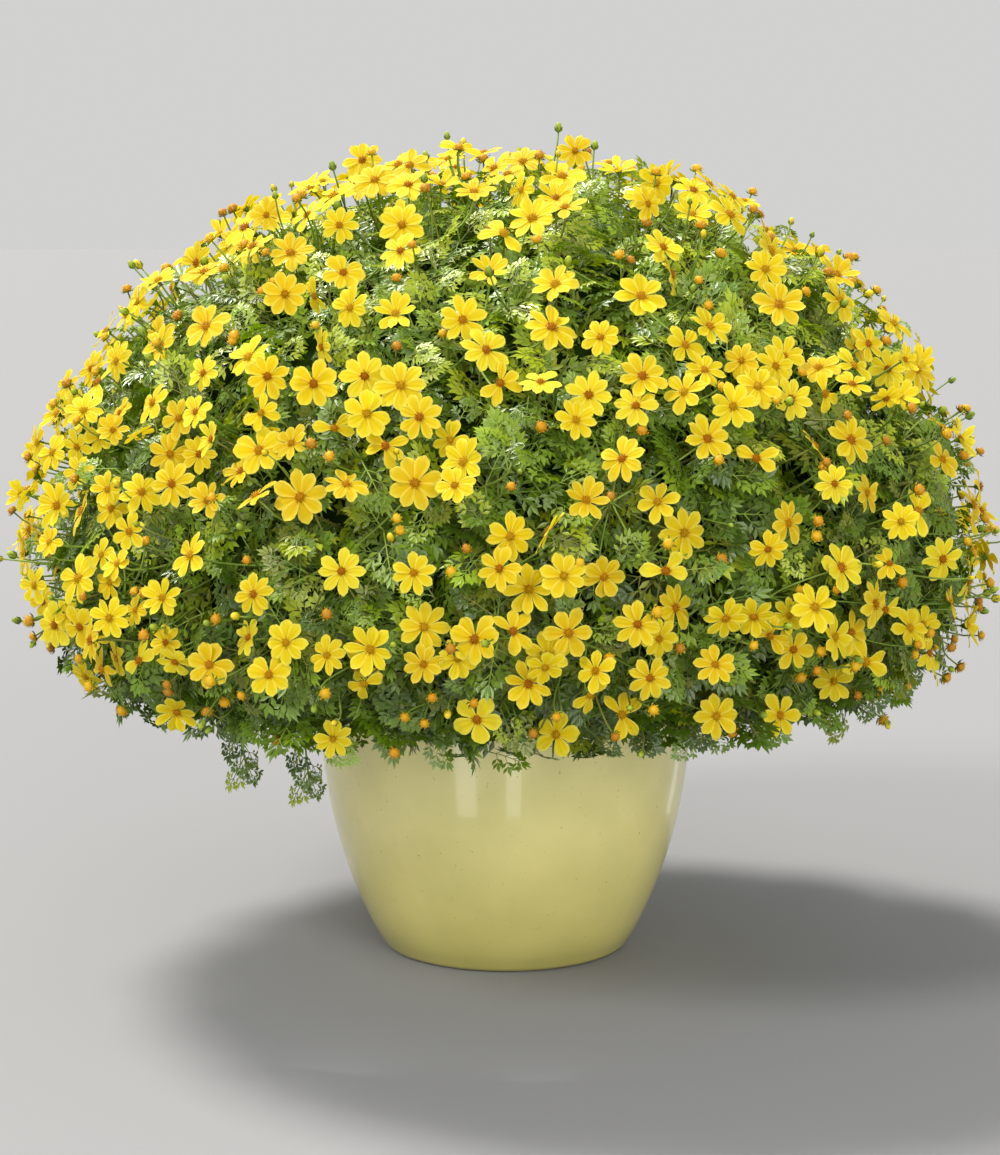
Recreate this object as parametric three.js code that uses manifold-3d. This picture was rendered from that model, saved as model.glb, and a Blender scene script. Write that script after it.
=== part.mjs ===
// A bidens in full flower in a round glazed pot, in millimetres, +Z up.
// The origin is the middle of the pot's underside, and -Y is the front.
// Leafy stems rise from holes in the soil and end in a mass of cut leaves, which sprays of blooms stand in.

import * as THREE from "three";
import { ConvexHull } from "three/addons/math/ConvexHull.js";
import { mergeVertices } from "three/addons/utils/BufferGeometryUtils.js";
import Module from "manifold-3d";

const { Vector3 } = THREE;
const wasm = await Module();
wasm.setup();

// Pot and soil
const POT_HEIGHT = 218;
const POT_RIM_RADIUS = 135;
const POT_FOOT_RADIUS = 88;
const POT_BELLY = 2.65; // how soon the wall turns upright above the foot
const POT_WALL = 7;
const POT_FLOOR = 9;
const POT_EDGE = 6; // rounding under the wall
const LIP = 3; // rounding of the rim
const DRAINS = { count: 3, radius: 6, out: 42, sides: 8 };
const POT_SIDES = 30;
const SOIL_LEVEL = 200;
const GAP = 0.3; // between pieces that touch
const SMALLEST_EDGE = 0.06; // left where leaves and stems are joined

// Dome of foliage and flower, measured at the blooms
const DOME_RADIUS = 345;
const DOME_MIDDLE = 285; // height of the widest ring
const DOME_RISE = 288;
const DOME_DROP = 162;
const GOLDEN_ANGLE = Math.PI * (3 - Math.sqrt(5));

// Leafy stems: depths are shares of the way from the dome's middle to the blooms
const STEM_COUNT = 14;
const STEM_LOWEST = -0.3;
const STEM_RADIUS = 3.2;
const STEM_ROOT_DEPTH = 26; // below the soil's surface
const STEM_CROWN = { inner: 16, outer: 92 }; // radii of the holes in the soil
const MASS_MIDDLE = 0.56;
const MASS_OUTER = 0.87;
const MASS_INNER = 82; // mm from the dome's middle
const MASS_FLOOR = 224; // height of its underside, clear of the rim
const MASS_GAP = 1.2;

// Thin shoots that hang below the dome at the left of the photograph
const SHOOT_TIPS = [
  [-179, -100, 147],
  [-135, -110, 139],
];

// Leaves
const LEAF_COUNT = 134;
const LEAF_ABOVE = 108; // of them, above the widest ring
const LEAF_LOWEST = -0.72;
const LEAF_TIP_LOWEST = 176;
const LEAF_SUNK = 10;
const LEAF_THICK = 1.1; // above and below the middle of the rib
const LEAF_TRIES = 24;
const LEAF_CLEAR = 0.6;
const LEAF_SPACING = 34;

// Sprays and blooms
const SPRAY_COUNT = 42;
const SPRAY_LOWEST = -0.4;
const HUB_DEPTH = 0.905;
const HUB_MARGIN = 13; // from the edge of its stem's share
const KNOT_RADIUS = 5.2;
const STALKS_APART = 0.94; // cosine of the least angle between two stalks of a spray
const SPRAY_SPAN = 200; // no bloom is farther from its spray's middle
const FOOT_RADIUS = 2.2;
const FOOT_SUNK = 16;
const FOOT_MARGIN = 5;
const FOOT_PROBE = 70;
const FOOT_REACH = 34; // the farthest that its mass may be below a spray's middle
const BLOOM_COUNT = 238;
const BLOOM_LOWEST = -0.46;
const BLOOM_RADIUS = 18;
const BLOOM_NOTCH = 9.6;
const BLOOM_SPACING = 36;
const PETALS = 5;
const PEDICEL_RADIUS = 0.95;
const PEDICEL_TAPER = 0.7;
const CALYX_DEPTH = 4.4;
const BUD_LENGTH = 13;
const BUD_RADIUS = 4.2;
const STALK_LEAN = 0.55; // cosine of the widest angle between a bloom's face and its stalk
const BLOOM_DEPTHS = [0.985, 1.0, 0.965, 0.945, 1.015, 0.925];

// The photograph's view, and where it shows the blooms along the front of the dome, in its pixels
const VIEW = {
  eye: new Vector3(-4, -2213, 626),
  pitch: THREE.MathUtils.degToRad(-9.2),
  focal: 3125,
  centre: [500, 577.5],
};
const FRONT_BLOOMS = {
  aboveRimMiddle: [529, 686],
  leftOfMiddle: [475, 641],
  middleLow: [529, 631],
  middleRightLow: [569, 634],
  rightOfMiddle: [640, 626],
  largeRight: [690, 613],
  farRightOfLarge: [721, 617],
  aboveRimRight: [652, 680],
  overRimRight: [719, 719],
  overRimRightHigher: [745, 688],
  leftMiddle: [418, 632],
  leftLow: [371, 649],
  leftLowUpper: [324, 632],
  leftLowPair: [343, 676],
  overRimLeft: [326, 714],
  overRimLeftLower: [330, 742],
  leftShoulder: [283, 644],
  leftEdgeLow: [205, 667],
  leftEdge: [207, 622],
  leftOutermost: [134, 663],
  middleLarge: [500, 569],
  middleLargeLeft: [464, 601],
  middleLeftHigher: [412, 574],
  middleRightHigher: [552, 555],
  rightPair: [610, 578],
  rightFarther: [665, 571],
  rightEdgeLow: [839, 639],
  rightEdgeMiddle: [809, 607],
  rightEdgeHigher: [846, 568],
  rightEdgeOuter: [880, 605],
  leftHigh: [297, 497],
  leftHighLower: [339, 572],
  leftHighPair: [186, 556],
  leftHighOuter: [250, 595],
};

const COLOURS = {
  pot: { color: 0xcfc684, roughness: 0.16, metalness: 0 },
  soil: { color: 0x2b1d14, roughness: 0.95, metalness: 0 },
  leaf: { color: 0x33591f, roughness: 0.6, metalness: 0 },
  bloom: { color: 0xf6cf10, roughness: 0.5, metalness: 0 },
};

// The same fraction from 0 to 1 each run, for a whole number and a salt.
function chance(index, salt) {
  let h = Math.imul(index + 1, 0x9e3779b1) ^ Math.imul(salt + 1, 0x85ebca6b);
  h = Math.imul(h ^ (h >>> 15), 0x2c1b3c6d);
  h = Math.imul(h ^ (h >>> 12), 0x297a2d39);
  return ((h ^ (h >>> 15)) >>> 0) / 4294967296;
}

const spread = (index, salt, low, high) => low + (high - low) * chance(index, salt);

// Directions spaced evenly from straight up down to a lowest rise, as a sunflower's seeds are.
function domeDirection(index, count, lowest) {
  const rise = 1 - ((index + 0.5) / count) * (1 - lowest);
  const out = Math.sqrt(1 - rise * rise);
  const turn = index * GOLDEN_ANGLE;
  return new Vector3(out * Math.cos(turn), out * Math.sin(turn), rise);
}

function domePoint(direction, depth) {
  const height = direction.z > 0 ? DOME_RISE : DOME_DROP;
  return new Vector3(
    direction.x * DOME_RADIUS * depth,
    direction.y * DOME_RADIUS * depth,
    DOME_MIDDLE + direction.z * height * depth,
  );
}

function domeNormal(direction) {
  const height = direction.z > 0 ? DOME_RISE : DOME_DROP;
  return new Vector3(direction.x / DOME_RADIUS, direction.y / DOME_RADIUS, direction.z / height).normalize();
}

// Two directions across a third, the second the one that points up the most.
function across(direction) {
  const up = Math.abs(direction.z) > 0.95 ? new Vector3(0, 1, 0) : new Vector3(0, 0, 1);
  const side = new Vector3().crossVectors(up, direction).normalize();
  return [side, new Vector3().crossVectors(direction, side)];
}

// Three points round another, square to a direction.
function ringRound(middle, direction, radius, turn = 0) {
  const [side, up] = across(direction);
  return [0, 1, 2].map((k) => {
    const angle = turn + (k * 2 * Math.PI) / 3;
    return middle
      .clone()
      .addScaledVector(side, radius * Math.cos(angle))
      .addScaledVector(up, radius * Math.sin(angle));
  });
}

const band = (outer, inner) =>
  [0, 1, 2].flatMap((k) => {
    const next = (k + 1) % 3;
    return [
      [outer[next], outer[k], inner[k]],
      [outer[next], inner[k], inner[next]],
    ];
  });

function solidOf(vertices, triangles) {
  return new wasm.Manifold(
    new wasm.Mesh({
      numProp: 3,
      vertProperties: new Float32Array(vertices.flatMap((v) => [v.x, v.y, v.z])),
      triVerts: new Uint32Array(triangles.flat()),
    }),
  );
}

function solidOfGeometry(geometry) {
  const plain = geometry.clone();
  plain.deleteAttribute("normal");
  plain.deleteAttribute("uv");
  const merged = mergeVertices(plain, 1e-4);
  return new wasm.Manifold(
    new wasm.Mesh({
      numProp: 3,
      vertProperties: merged.attributes.position.array,
      triVerts: new Uint32Array(merged.index.array),
    }),
  );
}

function meshOf(name, solid, look) {
  const made = solid.getMesh();
  const geometry = new THREE.BufferGeometry();
  geometry.setAttribute("position", new THREE.BufferAttribute(made.vertProperties, 3));
  geometry.setIndex(new THREE.BufferAttribute(made.triVerts, 1));
  geometry.computeVertexNormals();
  const mesh = new THREE.Mesh(geometry, new THREE.MeshStandardMaterial(COLOURS[look]));
  mesh.name = name;
  return mesh;
}

const joined = (solids) => solids.reduce((sum, solid) => sum.add(solid));

// Pot

function potRadius(height) {
  return POT_RIM_RADIUS - (POT_RIM_RADIUS - POT_FOOT_RADIUS) * (1 - height / POT_HEIGHT) ** POT_BELLY;
}

// The pot's inner wall from the floor up, as radius and height.
const POT_BORE = [
  [potRadius(POT_FLOOR) - POT_WALL - 4, POT_FLOOR],
  ...[0.2, 0.5].map((share) => [potRadius(share * POT_HEIGHT) - POT_WALL, share * POT_HEIGHT]),
  [POT_RIM_RADIUS - POT_WALL, POT_HEIGHT - LIP],
];

function potSolid() {
  const outside = [0.14, 0.3, 0.55].map((share) => [potRadius(share * POT_HEIGHT), share * POT_HEIGHT]);
  const outline = [
    [0, 0],
    [potRadius(0) - POT_EDGE, 0],
    [potRadius(POT_EDGE) - 1, POT_EDGE],
    ...outside,
    [POT_RIM_RADIUS, POT_HEIGHT - LIP],
    [POT_RIM_RADIUS - LIP, POT_HEIGHT],
    ...POT_BORE.toReversed(),
    [0, POT_FLOOR],
  ];
  const drains = Array.from({ length: DRAINS.count }, (_, k) => {
    const turn = ((k + 0.5) * 2 * Math.PI) / DRAINS.count;
    const drill = new THREE.CylinderGeometry(DRAINS.radius, DRAINS.radius, 4 * POT_FLOOR, DRAINS.sides);
    drill.rotateX(Math.PI / 2).translate(Math.cos(turn) * DRAINS.out, Math.sin(turn) * DRAINS.out, 0);
    return solidOfGeometry(drill);
  });
  return drains.reduce((left, drain) => left.subtract(drain), turned(outline));
}

function turned(outline) {
  const profile = outline.map(([radius, height]) => new THREE.Vector2(radius, height));
  return solidOfGeometry(new THREE.LatheGeometry(profile, POT_SIDES).rotateX(Math.PI / 2));
}

// Soil, filling the pot to just under the rim, with a plain hole for each stem

function soilSolid(roots) {
  const [bottom, low, middle, rim] = POT_BORE;
  const climb = (SOIL_LEVEL - 4 - middle[1]) / (rim[1] - middle[1]);
  const shoulder = middle[0] + (rim[0] - middle[0]) * climb;
  const body = turned([
    [0, POT_FLOOR + GAP],
    [bottom[0] - GAP, POT_FLOOR + GAP],
    [low[0] - GAP, low[1]],
    [middle[0] - GAP, middle[1]],
    [shoulder - GAP, SOIL_LEVEL - 4],
    [0, SOIL_LEVEL],
  ]);
  return roots.reduce((left, root) => left.subtract(holeOf(root)), body);
}

// A straight three-sided rod between two points, for the holes that stems and sprays stand in.
function rod(from, to, radius) {
  const way = new Vector3().subVectors(to, from).normalize();
  const points = [...ringRound(from, way, radius), ...ringRound(to, way, radius)];
  return solidOf(points, [[0, 2, 1], [3, 4, 5], ...band([3, 4, 5], [0, 1, 2])]);
}

const holeOf = (root) =>
  rod(
    root.clone().setZ(SOIL_LEVEL - STEM_ROOT_DEPTH - 1),
    root.clone().setZ(SOIL_LEVEL + 20),
    STEM_RADIUS + 2.4 * GAP,
  );

// Leafy stems

const stems = Array.from({ length: STEM_COUNT }, (_, index) => {
  const direction = domeDirection(index, STEM_COUNT, STEM_LOWEST);
  const azimuth = Math.atan2(direction.y, direction.x);
  const slant = Math.acos(direction.z) / Math.acos(STEM_LOWEST);
  const crown = STEM_CROWN.inner + (STEM_CROWN.outer - STEM_CROWN.inner) * slant;
  return {
    index,
    direction,
    middle: domePoint(direction, MASS_MIDDLE),
    root: new Vector3(Math.cos(azimuth) * crown, Math.sin(azimuth) * crown, 0),
    bend: new Vector3(Math.cos(azimuth) * crown * 0.8, Math.sin(azimuth) * crown * 0.8, DOME_MIDDLE - 10),
  };
});

// The planes that part a stem's share of the dome from its neighbours'.
// Each is a normal, and how far along it a point may lie.
function wallsOf(stem) {
  const middle = new Vector3(0, 0, DOME_MIDDLE);
  const stretch = (d) => new Vector3(d.x / DOME_RADIUS, d.y / DOME_RADIUS, d.z / DOME_RISE);
  const walls = stems
    .filter((other) => other !== stem)
    .map((other) => {
      const normal = stretch(other.direction.clone().sub(stem.direction)).normalize();
      return { normal, reach: normal.dot(middle) - MASS_GAP / 2 };
    });
  return walls;
}

for (const stem of stems) stem.walls = wallsOf(stem);

const inside = (point, walls, margin) => walls.every((w) => point.dot(w.normal) < w.reach - margin);

// How far a ray from the mass's middle runs before it meets a wall, the dome or the underside.
function massReach(stem, walls, ray) {
  const start = stem.middle;
  const down = new Vector3(0, 0, -1);
  const inward = domePoint(stem.direction, 1).sub(domePoint(stem.direction, 0)).normalize().negate();
  const planes = [
    ...walls,
    { normal: down, reach: -MASS_FLOOR },
    { normal: inward, reach: inward.dot(new Vector3(0, 0, DOME_MIDDLE)) - MASS_INNER },
  ];
  let reach = Infinity;
  for (const { normal, reach: limit } of planes) {
    const pace = ray.dot(normal);
    if (pace > 1e-6) reach = Math.min(reach, (limit - start.dot(normal)) / pace);
  }
  let low = 0;
  let high = Math.min(reach, 2 * DOME_RADIUS);
  for (let step = 0; step < 30; step += 1) {
    const at = (low + high) / 2;
    const p = start.clone().addScaledVector(ray, at);
    const rise = p.z > DOME_MIDDLE ? DOME_RISE : DOME_DROP;
    const share = Math.hypot(p.x / DOME_RADIUS, p.y / DOME_RADIUS, (p.z - DOME_MIDDLE) / rise);
    if (share < MASS_OUTER) low = at;
    else high = at;
  }
  return low;
}

// The inner mass of a leafy stem: twigs and leaves too dense to part, which the outer leaves stand out of.
function massOf(stem, walls) {
  const ball = new THREE.IcosahedronGeometry(1, 1);
  ball.deleteAttribute("normal");
  ball.deleteAttribute("uv");
  const merged = mergeVertices(ball, 1e-4);
  const at = merged.attributes.position;
  const points = [];
  for (let i = 0; i < at.count; i += 1) {
    const ray = new Vector3().fromBufferAttribute(at, i).normalize();
    const shrink = spread(i + 50 * stem.index, 1, 0.84, 1);
    points.push(stem.middle.clone().addScaledVector(ray, massReach(stem, walls, ray) * shrink));
  }
  const faces = [];
  for (let i = 0; i < merged.index.count; i += 3) {
    faces.push([merged.index.getX(i), merged.index.getX(i + 1), merged.index.getX(i + 2)]);
  }
  return { points, faces, solid: solidOf(points, faces) };
}

for (const stem of stems) {
  stem.mass = massOf(stem, stem.walls);
  stem.leaves = [];
}

// How far from a start a ray leaves the mass, or 0 where it misses it.
function leaves(mass, start, ray) {
  let far = 0;
  const line = new THREE.Ray(start, ray);
  const hit = new Vector3();
  for (const [a, b, c] of mass.faces) {
    if (line.intersectTriangle(mass.points[a], mass.points[b], mass.points[c], false, hit)) {
      far = Math.max(far, hit.distanceTo(start));
    }
  }
  return far;
}

// A three-sided stem along a path, its sides kept untwisted.
function stemAlong(points, radius) {
  const last = points.length - 1;
  const rings = [];
  let heading = new Vector3(0, 0, 1);
  let spokes = [0, 1, 2].map((k) => {
    const angle = (k * 2 * Math.PI) / 3;
    return new Vector3(Math.cos(angle), Math.sin(angle), 0).multiplyScalar(radius);
  });
  points.forEach((point, i) => {
    const [before, after] = [points[Math.max(i - 1, 0)], points[Math.min(i + 1, last)]];
    const next = new Vector3().subVectors(after, before).normalize();
    const swing = new THREE.Quaternion().setFromUnitVectors(heading, next);
    spokes = spokes.map((spoke) => spoke.clone().applyQuaternion(swing));
    heading = next;
    rings.push(...spokes.map((spoke) => point.clone().add(spoke)));
  });
  const end = 3 * last;
  const faces = [
    [0, 2, 1],
    [end, end + 1, end + 2],
  ];
  for (let r = 0; r < last; r += 1) {
    for (let k = 0; k < 3; k += 1) {
      const next = (k + 1) % 3;
      faces.push([3 * r + k, 3 * r + next, 3 * r + next + 3]);
      faces.push([3 * r + k, 3 * r + next + 3, 3 * r + k + 3]);
    }
  }
  return solidOf(rings, faces);
}

function stalkOf(stem) {
  const foot = stem.root.clone().setZ(SOIL_LEVEL - STEM_ROOT_DEPTH);
  const collar = stem.root.clone().setZ(SOIL_LEVEL + 4);
  const path = new THREE.QuadraticBezierCurve3(collar, stem.bend, stem.middle);
  return stemAlong([foot, ...[0, 0.45, 1].map((t) => path.getPoint(t))], STEM_RADIUS);
}

// Where the blooms are

// The point of the dome under a pixel of the photograph, as a direction from the dome's middle.
function directionAt([x, y]) {
  const { eye, pitch, focal, centre } = VIEW;
  const forward = new Vector3(0, Math.cos(pitch), Math.sin(pitch));
  const up = new Vector3(0, -Math.sin(pitch), Math.cos(pitch));
  const ray = forward
    .addScaledVector(new Vector3(1, 0, 0), (x - centre[0]) / focal)
    .addScaledVector(up, (centre[1] - y) / focal);
  for (const rise of [DOME_RISE, DOME_DROP]) {
    const scale = new Vector3(1 / DOME_RADIUS, 1 / DOME_RADIUS, 1 / rise);
    const from = new Vector3(eye.x, eye.y, eye.z - DOME_MIDDLE).multiply(scale);
    const pace = ray.clone().multiply(scale);
    const a = pace.dot(pace);
    const b = from.dot(pace);
    const under = Math.max(b * b - a * (from.dot(from) - 1), 0);
    const hit = from.addScaledVector(pace, (-b - Math.sqrt(under)) / a).normalize();
    if ((rise === DOME_RISE) === (hit.z > 0)) return hit;
  }
  return null;
}

const nearestTo = (list, direction) =>
  list.reduce((best, other) => (other.direction.dot(direction) > best.direction.dot(direction) ? other : best));

const outward = (direction) => domePoint(direction, 1).sub(domePoint(direction, 0)).normalize();

// How far above a spray's middle, or below it where negative, the skin of its stem's mass is.
function skinUnder(stem, point, out) {
  return leaves(stem.mass, point.clone().addScaledVector(out, -FOOT_PROBE), out) - FOOT_PROBE;
}

// Whether the mass is thick enough all round a spray's foot for it to stand in.
function standsFirm(stem, direction) {
  const out = outward(direction);
  const point = domePoint(direction, HUB_DEPTH);
  const probes = ringRound(point, out, FOOT_MARGIN);
  const bed = point.clone().addScaledVector(out, -FOOT_SUNK);
  return inside(bed, stem.walls, HUB_MARGIN) && probes.every((p) => skinUnder(stem, p, out) > -FOOT_REACH);
}

// The middles of the sprays, each drawn in from the edge of its stem's share far enough to stand on it.
const hubs = Array.from({ length: SPRAY_COUNT }, (_, index) => {
  const direction = domeDirection(index, SPRAY_COUNT, SPRAY_LOWEST).applyAxisAngle(new Vector3(0, 0, 1), 0.9);
  const stem = nearestTo(stems, direction);
  while (!standsFirm(stem, direction)) direction.lerp(stem.direction, 0.06).normalize();
  return { stem, direction, point: domePoint(direction, HUB_DEPTH), blooms: [] };
});

function facing(direction, index) {
  const out = domeNormal(direction);
  out.z = Math.max(out.z, 0.05) + 0.22;
  const [side, up] = across(out.normalize());
  return out
    .addScaledVector(side, spread(index, 3, -0.35, 0.35))
    .addScaledVector(up, spread(index, 4, -0.3, 0.3))
    .normalize();
}

function bloomAt(direction, depth, index) {
  const hub = nearestTo(hubs, direction);
  const point = domePoint(direction, depth);
  const face = facing(direction, index);
  const stalk = new Vector3().subVectors(point, hub.point).normalize();
  for (let step = 0; step < 8 && face.dot(stalk) < STALK_LEAN; step += 1) {
    face.addScaledVector(stalk, 0.12).normalize();
  }
  const calyx = point.clone().addScaledVector(face, -CALYX_DEPTH);
  return { point, face, calyx, hub, turn: chance(index, 5) * Math.PI * 2 };
}

// Whether a point is in the flat space that an open bloom takes up.
function nearBloom(point, bloom, room) {
  const off = new Vector3().subVectors(point, bloom.point);
  const height = off.dot(bloom.face);
  if (Math.abs(height) > CALYX_DEPTH + room) return false;
  return off.addScaledVector(bloom.face, -height).length() < BLOOM_RADIUS + room;
}

const along = (from, to, count) =>
  Array.from({ length: count }, (_, i) => new Vector3().lerpVectors(from, to, i / (count - 1)));

function clearOfOthers(bloom, others) {
  const stalk = along(bloom.calyx, bloom.hub.point, 14);
  const way = (b) => new Vector3().subVectors(b.calyx, b.hub.point).normalize();
  return others.every((other) => {
    if (bloom.point.distanceTo(other.point) < BLOOM_SPACING) return false;
    if (bloom.hub === other.hub && way(bloom).dot(way(other)) > STALKS_APART) return false;
    if (bloom.point.distanceTo(other.point) > 260) return true;
    if (stalk.some((p) => nearBloom(p, other, 2))) return false;
    return !along(other.calyx, other.hub.point, 14).some((p) => nearBloom(p, bloom, 2));
  });
}

function placeBlooms() {
  const placed = [];
  const tryAt = (direction, index) => {
    for (const depth of BLOOM_DEPTHS) {
      const bloom = bloomAt(direction, depth, index);
      if (clearOfOthers(bloom, placed)) {
        placed.push(bloom);
        bloom.hub.blooms.push(bloom);
        return;
      }
    }
  };
  Object.values(FRONT_BLOOMS).forEach((pixel, index) => tryAt(directionAt(pixel), 1000 + index));
  for (let index = 0; index < BLOOM_COUNT; index += 1) {
    const direction = domeDirection(index, BLOOM_COUNT, BLOOM_LOWEST);
    const [side, up] = across(direction);
    direction
      .addScaledVector(side, spread(index, 6, -0.06, 0.06))
      .addScaledVector(up, spread(index, 7, -0.06, 0.06))
      .normalize();
    if (direction.z < BLOOM_LOWEST) direction.setZ(BLOOM_LOWEST).normalize();
    tryAt(direction, index);
  }
  return placed;
}

const blooms = placeBlooms();

// Blooms and their sprays

// The skin of an open bloom and its stalk: petals round a raised disc, and the stalk down to the knot.
function bloomSkin(bloom, skin) {
  const [side, up] = across(bloom.face);
  const at = (radius, angle, height) =>
    bloom.point
      .clone()
      .addScaledVector(side, radius * Math.cos(angle))
      .addScaledVector(up, radius * Math.sin(angle))
      .addScaledVector(bloom.face, height);
  const centre = skin.add(at(0, 0, 2.6));
  const count = 2 * PETALS;
  const rim = Array.from({ length: count }, (_, i) => {
    const angle = bloom.turn + (i * Math.PI) / PETALS;
    return skin.add(i % 2 ? at(BLOOM_NOTCH, angle, 0) : at(BLOOM_RADIUS, angle, 1.6));
  });
  const neck = ringRound(bloom.calyx, bloom.face, PEDICEL_RADIUS, bloom.turn);
  const stalk = new Vector3().subVectors(bloom.calyx, bloom.hub.point).normalize();
  const swing = new THREE.Quaternion().setFromUnitVectors(bloom.face, stalk);
  const start = bloom.hub.point.clone().addScaledVector(stalk, KNOT_RADIUS);
  const foot = neck.map((p) => {
    const spoke = p.clone().sub(bloom.calyx).applyQuaternion(swing);
    return spoke.multiplyScalar(PEDICEL_TAPER).add(start);
  });
  const collar = neck.map(skin.add);
  const nearest = (i) => Math.round((i * 3) / count) % 3;
  for (let i = 0; i < count; i += 1) {
    const next = (i + 1) % count;
    skin.faces.push([centre, rim[i], rim[next]]);
    const [a, b] = [nearest(i), nearest(i + 1)];
    skin.faces.push([rim[next], rim[i], collar[a]]);
    if (a !== b) skin.faces.push([rim[next], collar[a], collar[b]]);
  }
  skin.join(collar, foot);
}

// The skin of a closed bud and its stalk, standing at the middle of a spray.
function budSkin(hub, skin) {
  const out = new Vector3().subVectors(hub.bud, hub.point).normalize();
  const tip = skin.add(hub.bud);
  const below = (share) => hub.bud.clone().addScaledVector(out, -BUD_LENGTH * share);
  const shoulder = ringRound(below(0.6), out, BUD_RADIUS).map(skin.add);
  const base = ringRound(below(1), out, PEDICEL_RADIUS).map(skin.add);
  for (let k = 0; k < 3; k += 1) skin.faces.push([tip, shoulder[k], shoulder[(k + 1) % 3]]);
  skin.faces.push(...band(shoulder, base));
  skin.join(base, ringRound(hub.point.clone().addScaledVector(out, KNOT_RADIUS), out, PEDICEL_RADIUS));
}

// The line that a spray's foot, or the wider hole it stands in, runs along.
function footOf(hub, radius) {
  const out = outward(hub.direction);
  const depth = skinUnder(hub.stem, hub.point, out) - FOOT_SUNK - (radius - FOOT_RADIUS);
  return { from: hub.point.clone().addScaledVector(out, depth), to: hub.point.clone(), out };
}

// A spray in one skin: its knot is the hull of the rings where its stalks and its foot meet it.
function spraySolid(hub) {
  const points = [];
  const rings = [];
  const skin = {
    faces: [],
    add: (point) => points.push(point) - 1,
    join: (outer, inner) => {
      const ring = inner.map(skin.add);
      rings.push(ring);
      skin.faces.push(...band(outer, ring));
    },
  };
  for (const bloom of hub.blooms) bloomSkin(bloom, skin);
  if (hub.bud) budSkin(hub, skin);
  const { from, out } = footOf(hub, FOOT_RADIUS);
  const inward = out.clone().negate();
  const toe = ringRound(from, inward, FOOT_RADIUS).map(skin.add);
  skin.faces.push(toe);
  skin.join(toe, ringRound(hub.point.clone().addScaledVector(inward, KNOT_RADIUS), inward, FOOT_RADIUS));

  const owner = new Map(rings.flatMap((ring, arm) => ring.map((index) => [points[index], { index, arm }])));
  const hull = new ConvexHull().setFromPoints([...owner.keys()]);
  for (const face of hull.faces) {
    const corners = [face.edge, face.edge.next, face.edge.prev].map((edge) => owner.get(edge.head().point));
    const isMouth = corners.every((corner) => corner.arm === corners[0].arm);
    if (!isMouth) skin.faces.push(corners.map((corner) => corner.index));
  }
  return solidOf(points, skin.faces);
}

function placeBuds() {
  hubs.forEach((hub, index) => {
    const bud = domePoint(hub.direction, spread(index, 21, 0.99, 1.05));
    const path = along(hub.point, bud, 9);
    const way = bud.clone().sub(hub.point).normalize();
    const crowded = hub.blooms.some(
      (bloom) => bloom.calyx.clone().sub(hub.point).normalize().dot(way) > STALKS_APART - 0.03,
    );
    if (!crowded && !blooms.some((bloom) => path.some((p) => nearBloom(p, bloom, 5)))) hub.bud = bud;
  });
}

// Leaves: each is cut nearly to its rib into seven narrow lobes

const LEAF_OUTLINE = [
  [20, -2],
  [19, -21],
  [33, -5],
  [38, -27],
  [46, -5],
  [54, -17],
  [70, 0],
];

function leafPoints(root, out, turn, tilt, size) {
  const [side, up] = across(out);
  const lean = side.clone().multiplyScalar(Math.cos(turn)).addScaledVector(up, Math.sin(turn));
  const rib = out.clone().multiplyScalar(Math.cos(tilt)).addScaledVector(lean, Math.sin(tilt)).normalize();
  const blade = new Vector3().crossVectors(out, rib).normalize();
  const above = new Vector3().crossVectors(rib, blade);
  const arch = (x) => -0.005 * Math.max(x - 14, 0) ** 2;
  const at = (x, y, z) =>
    root
      .clone()
      .addScaledVector(rib, x * size)
      .addScaledVector(blade, y * size)
      .addScaledVector(above, (arch(x) + Math.abs(y) * 0.12) * size + z);
  const left = LEAF_OUTLINE.slice(0, -1)
    .toReversed()
    .map(([x, y]) => [x, -y]);
  const outline = [...LEAF_OUTLINE, ...left].map(([x, y]) => at(x, y, 0));
  const middle = [at(36, 0, LEAF_THICK), at(36, 0, -LEAF_THICK)];
  return { outline, middle, stalk: [at(0, -2, 0), at(0, 2, 0), at(0, 0, -2.4), at(20, 0, -2.4)] };
}

function leafSolid({ outline, middle, stalk }) {
  const points = [...outline, ...middle, ...stalk];
  const count = outline.length;
  const [top, bottom, right, left, keel, under] = [0, 1, 2, 3, 4, 5].map((k) => count + k);
  const last = count - 1;
  const faces = [];
  for (let i = 0; i < last; i += 1) {
    faces.push([top, i, i + 1], [bottom, i + 1, i]);
  }
  faces.push([top, last, 0], [bottom, 0, under], [bottom, under, last]);
  faces.push([right, 0, last], [right, last, left]);
  faces.push([left, last, under], [left, under, keel]);
  faces.push([keel, under, 0], [keel, 0, right]);
  faces.push([right, left, keel]);
  return solidOf(points, faces);
}

// Whether a leaf keeps within its stem's share of the dome and clear of the pot and every spray near it.
function leafFits(leaf, walls, sprays) {
  const { outline, middle } = leaf;
  const samples = [...outline, ...middle];
  if (samples.some((p) => !inside(p, walls, 0.6) || p.z < LEAF_TIP_LOWEST)) return false;
  if (samples.some((p) => p.z < POT_HEIGHT + 3 && Math.hypot(p.x, p.y) < POT_RIM_RADIUS + 4)) return false;
  const blade = leafSolid(leaf);
  return sprays.every((spray) => blade.minGap(spray, LEAF_CLEAR) >= LEAF_CLEAR);
}

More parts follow.
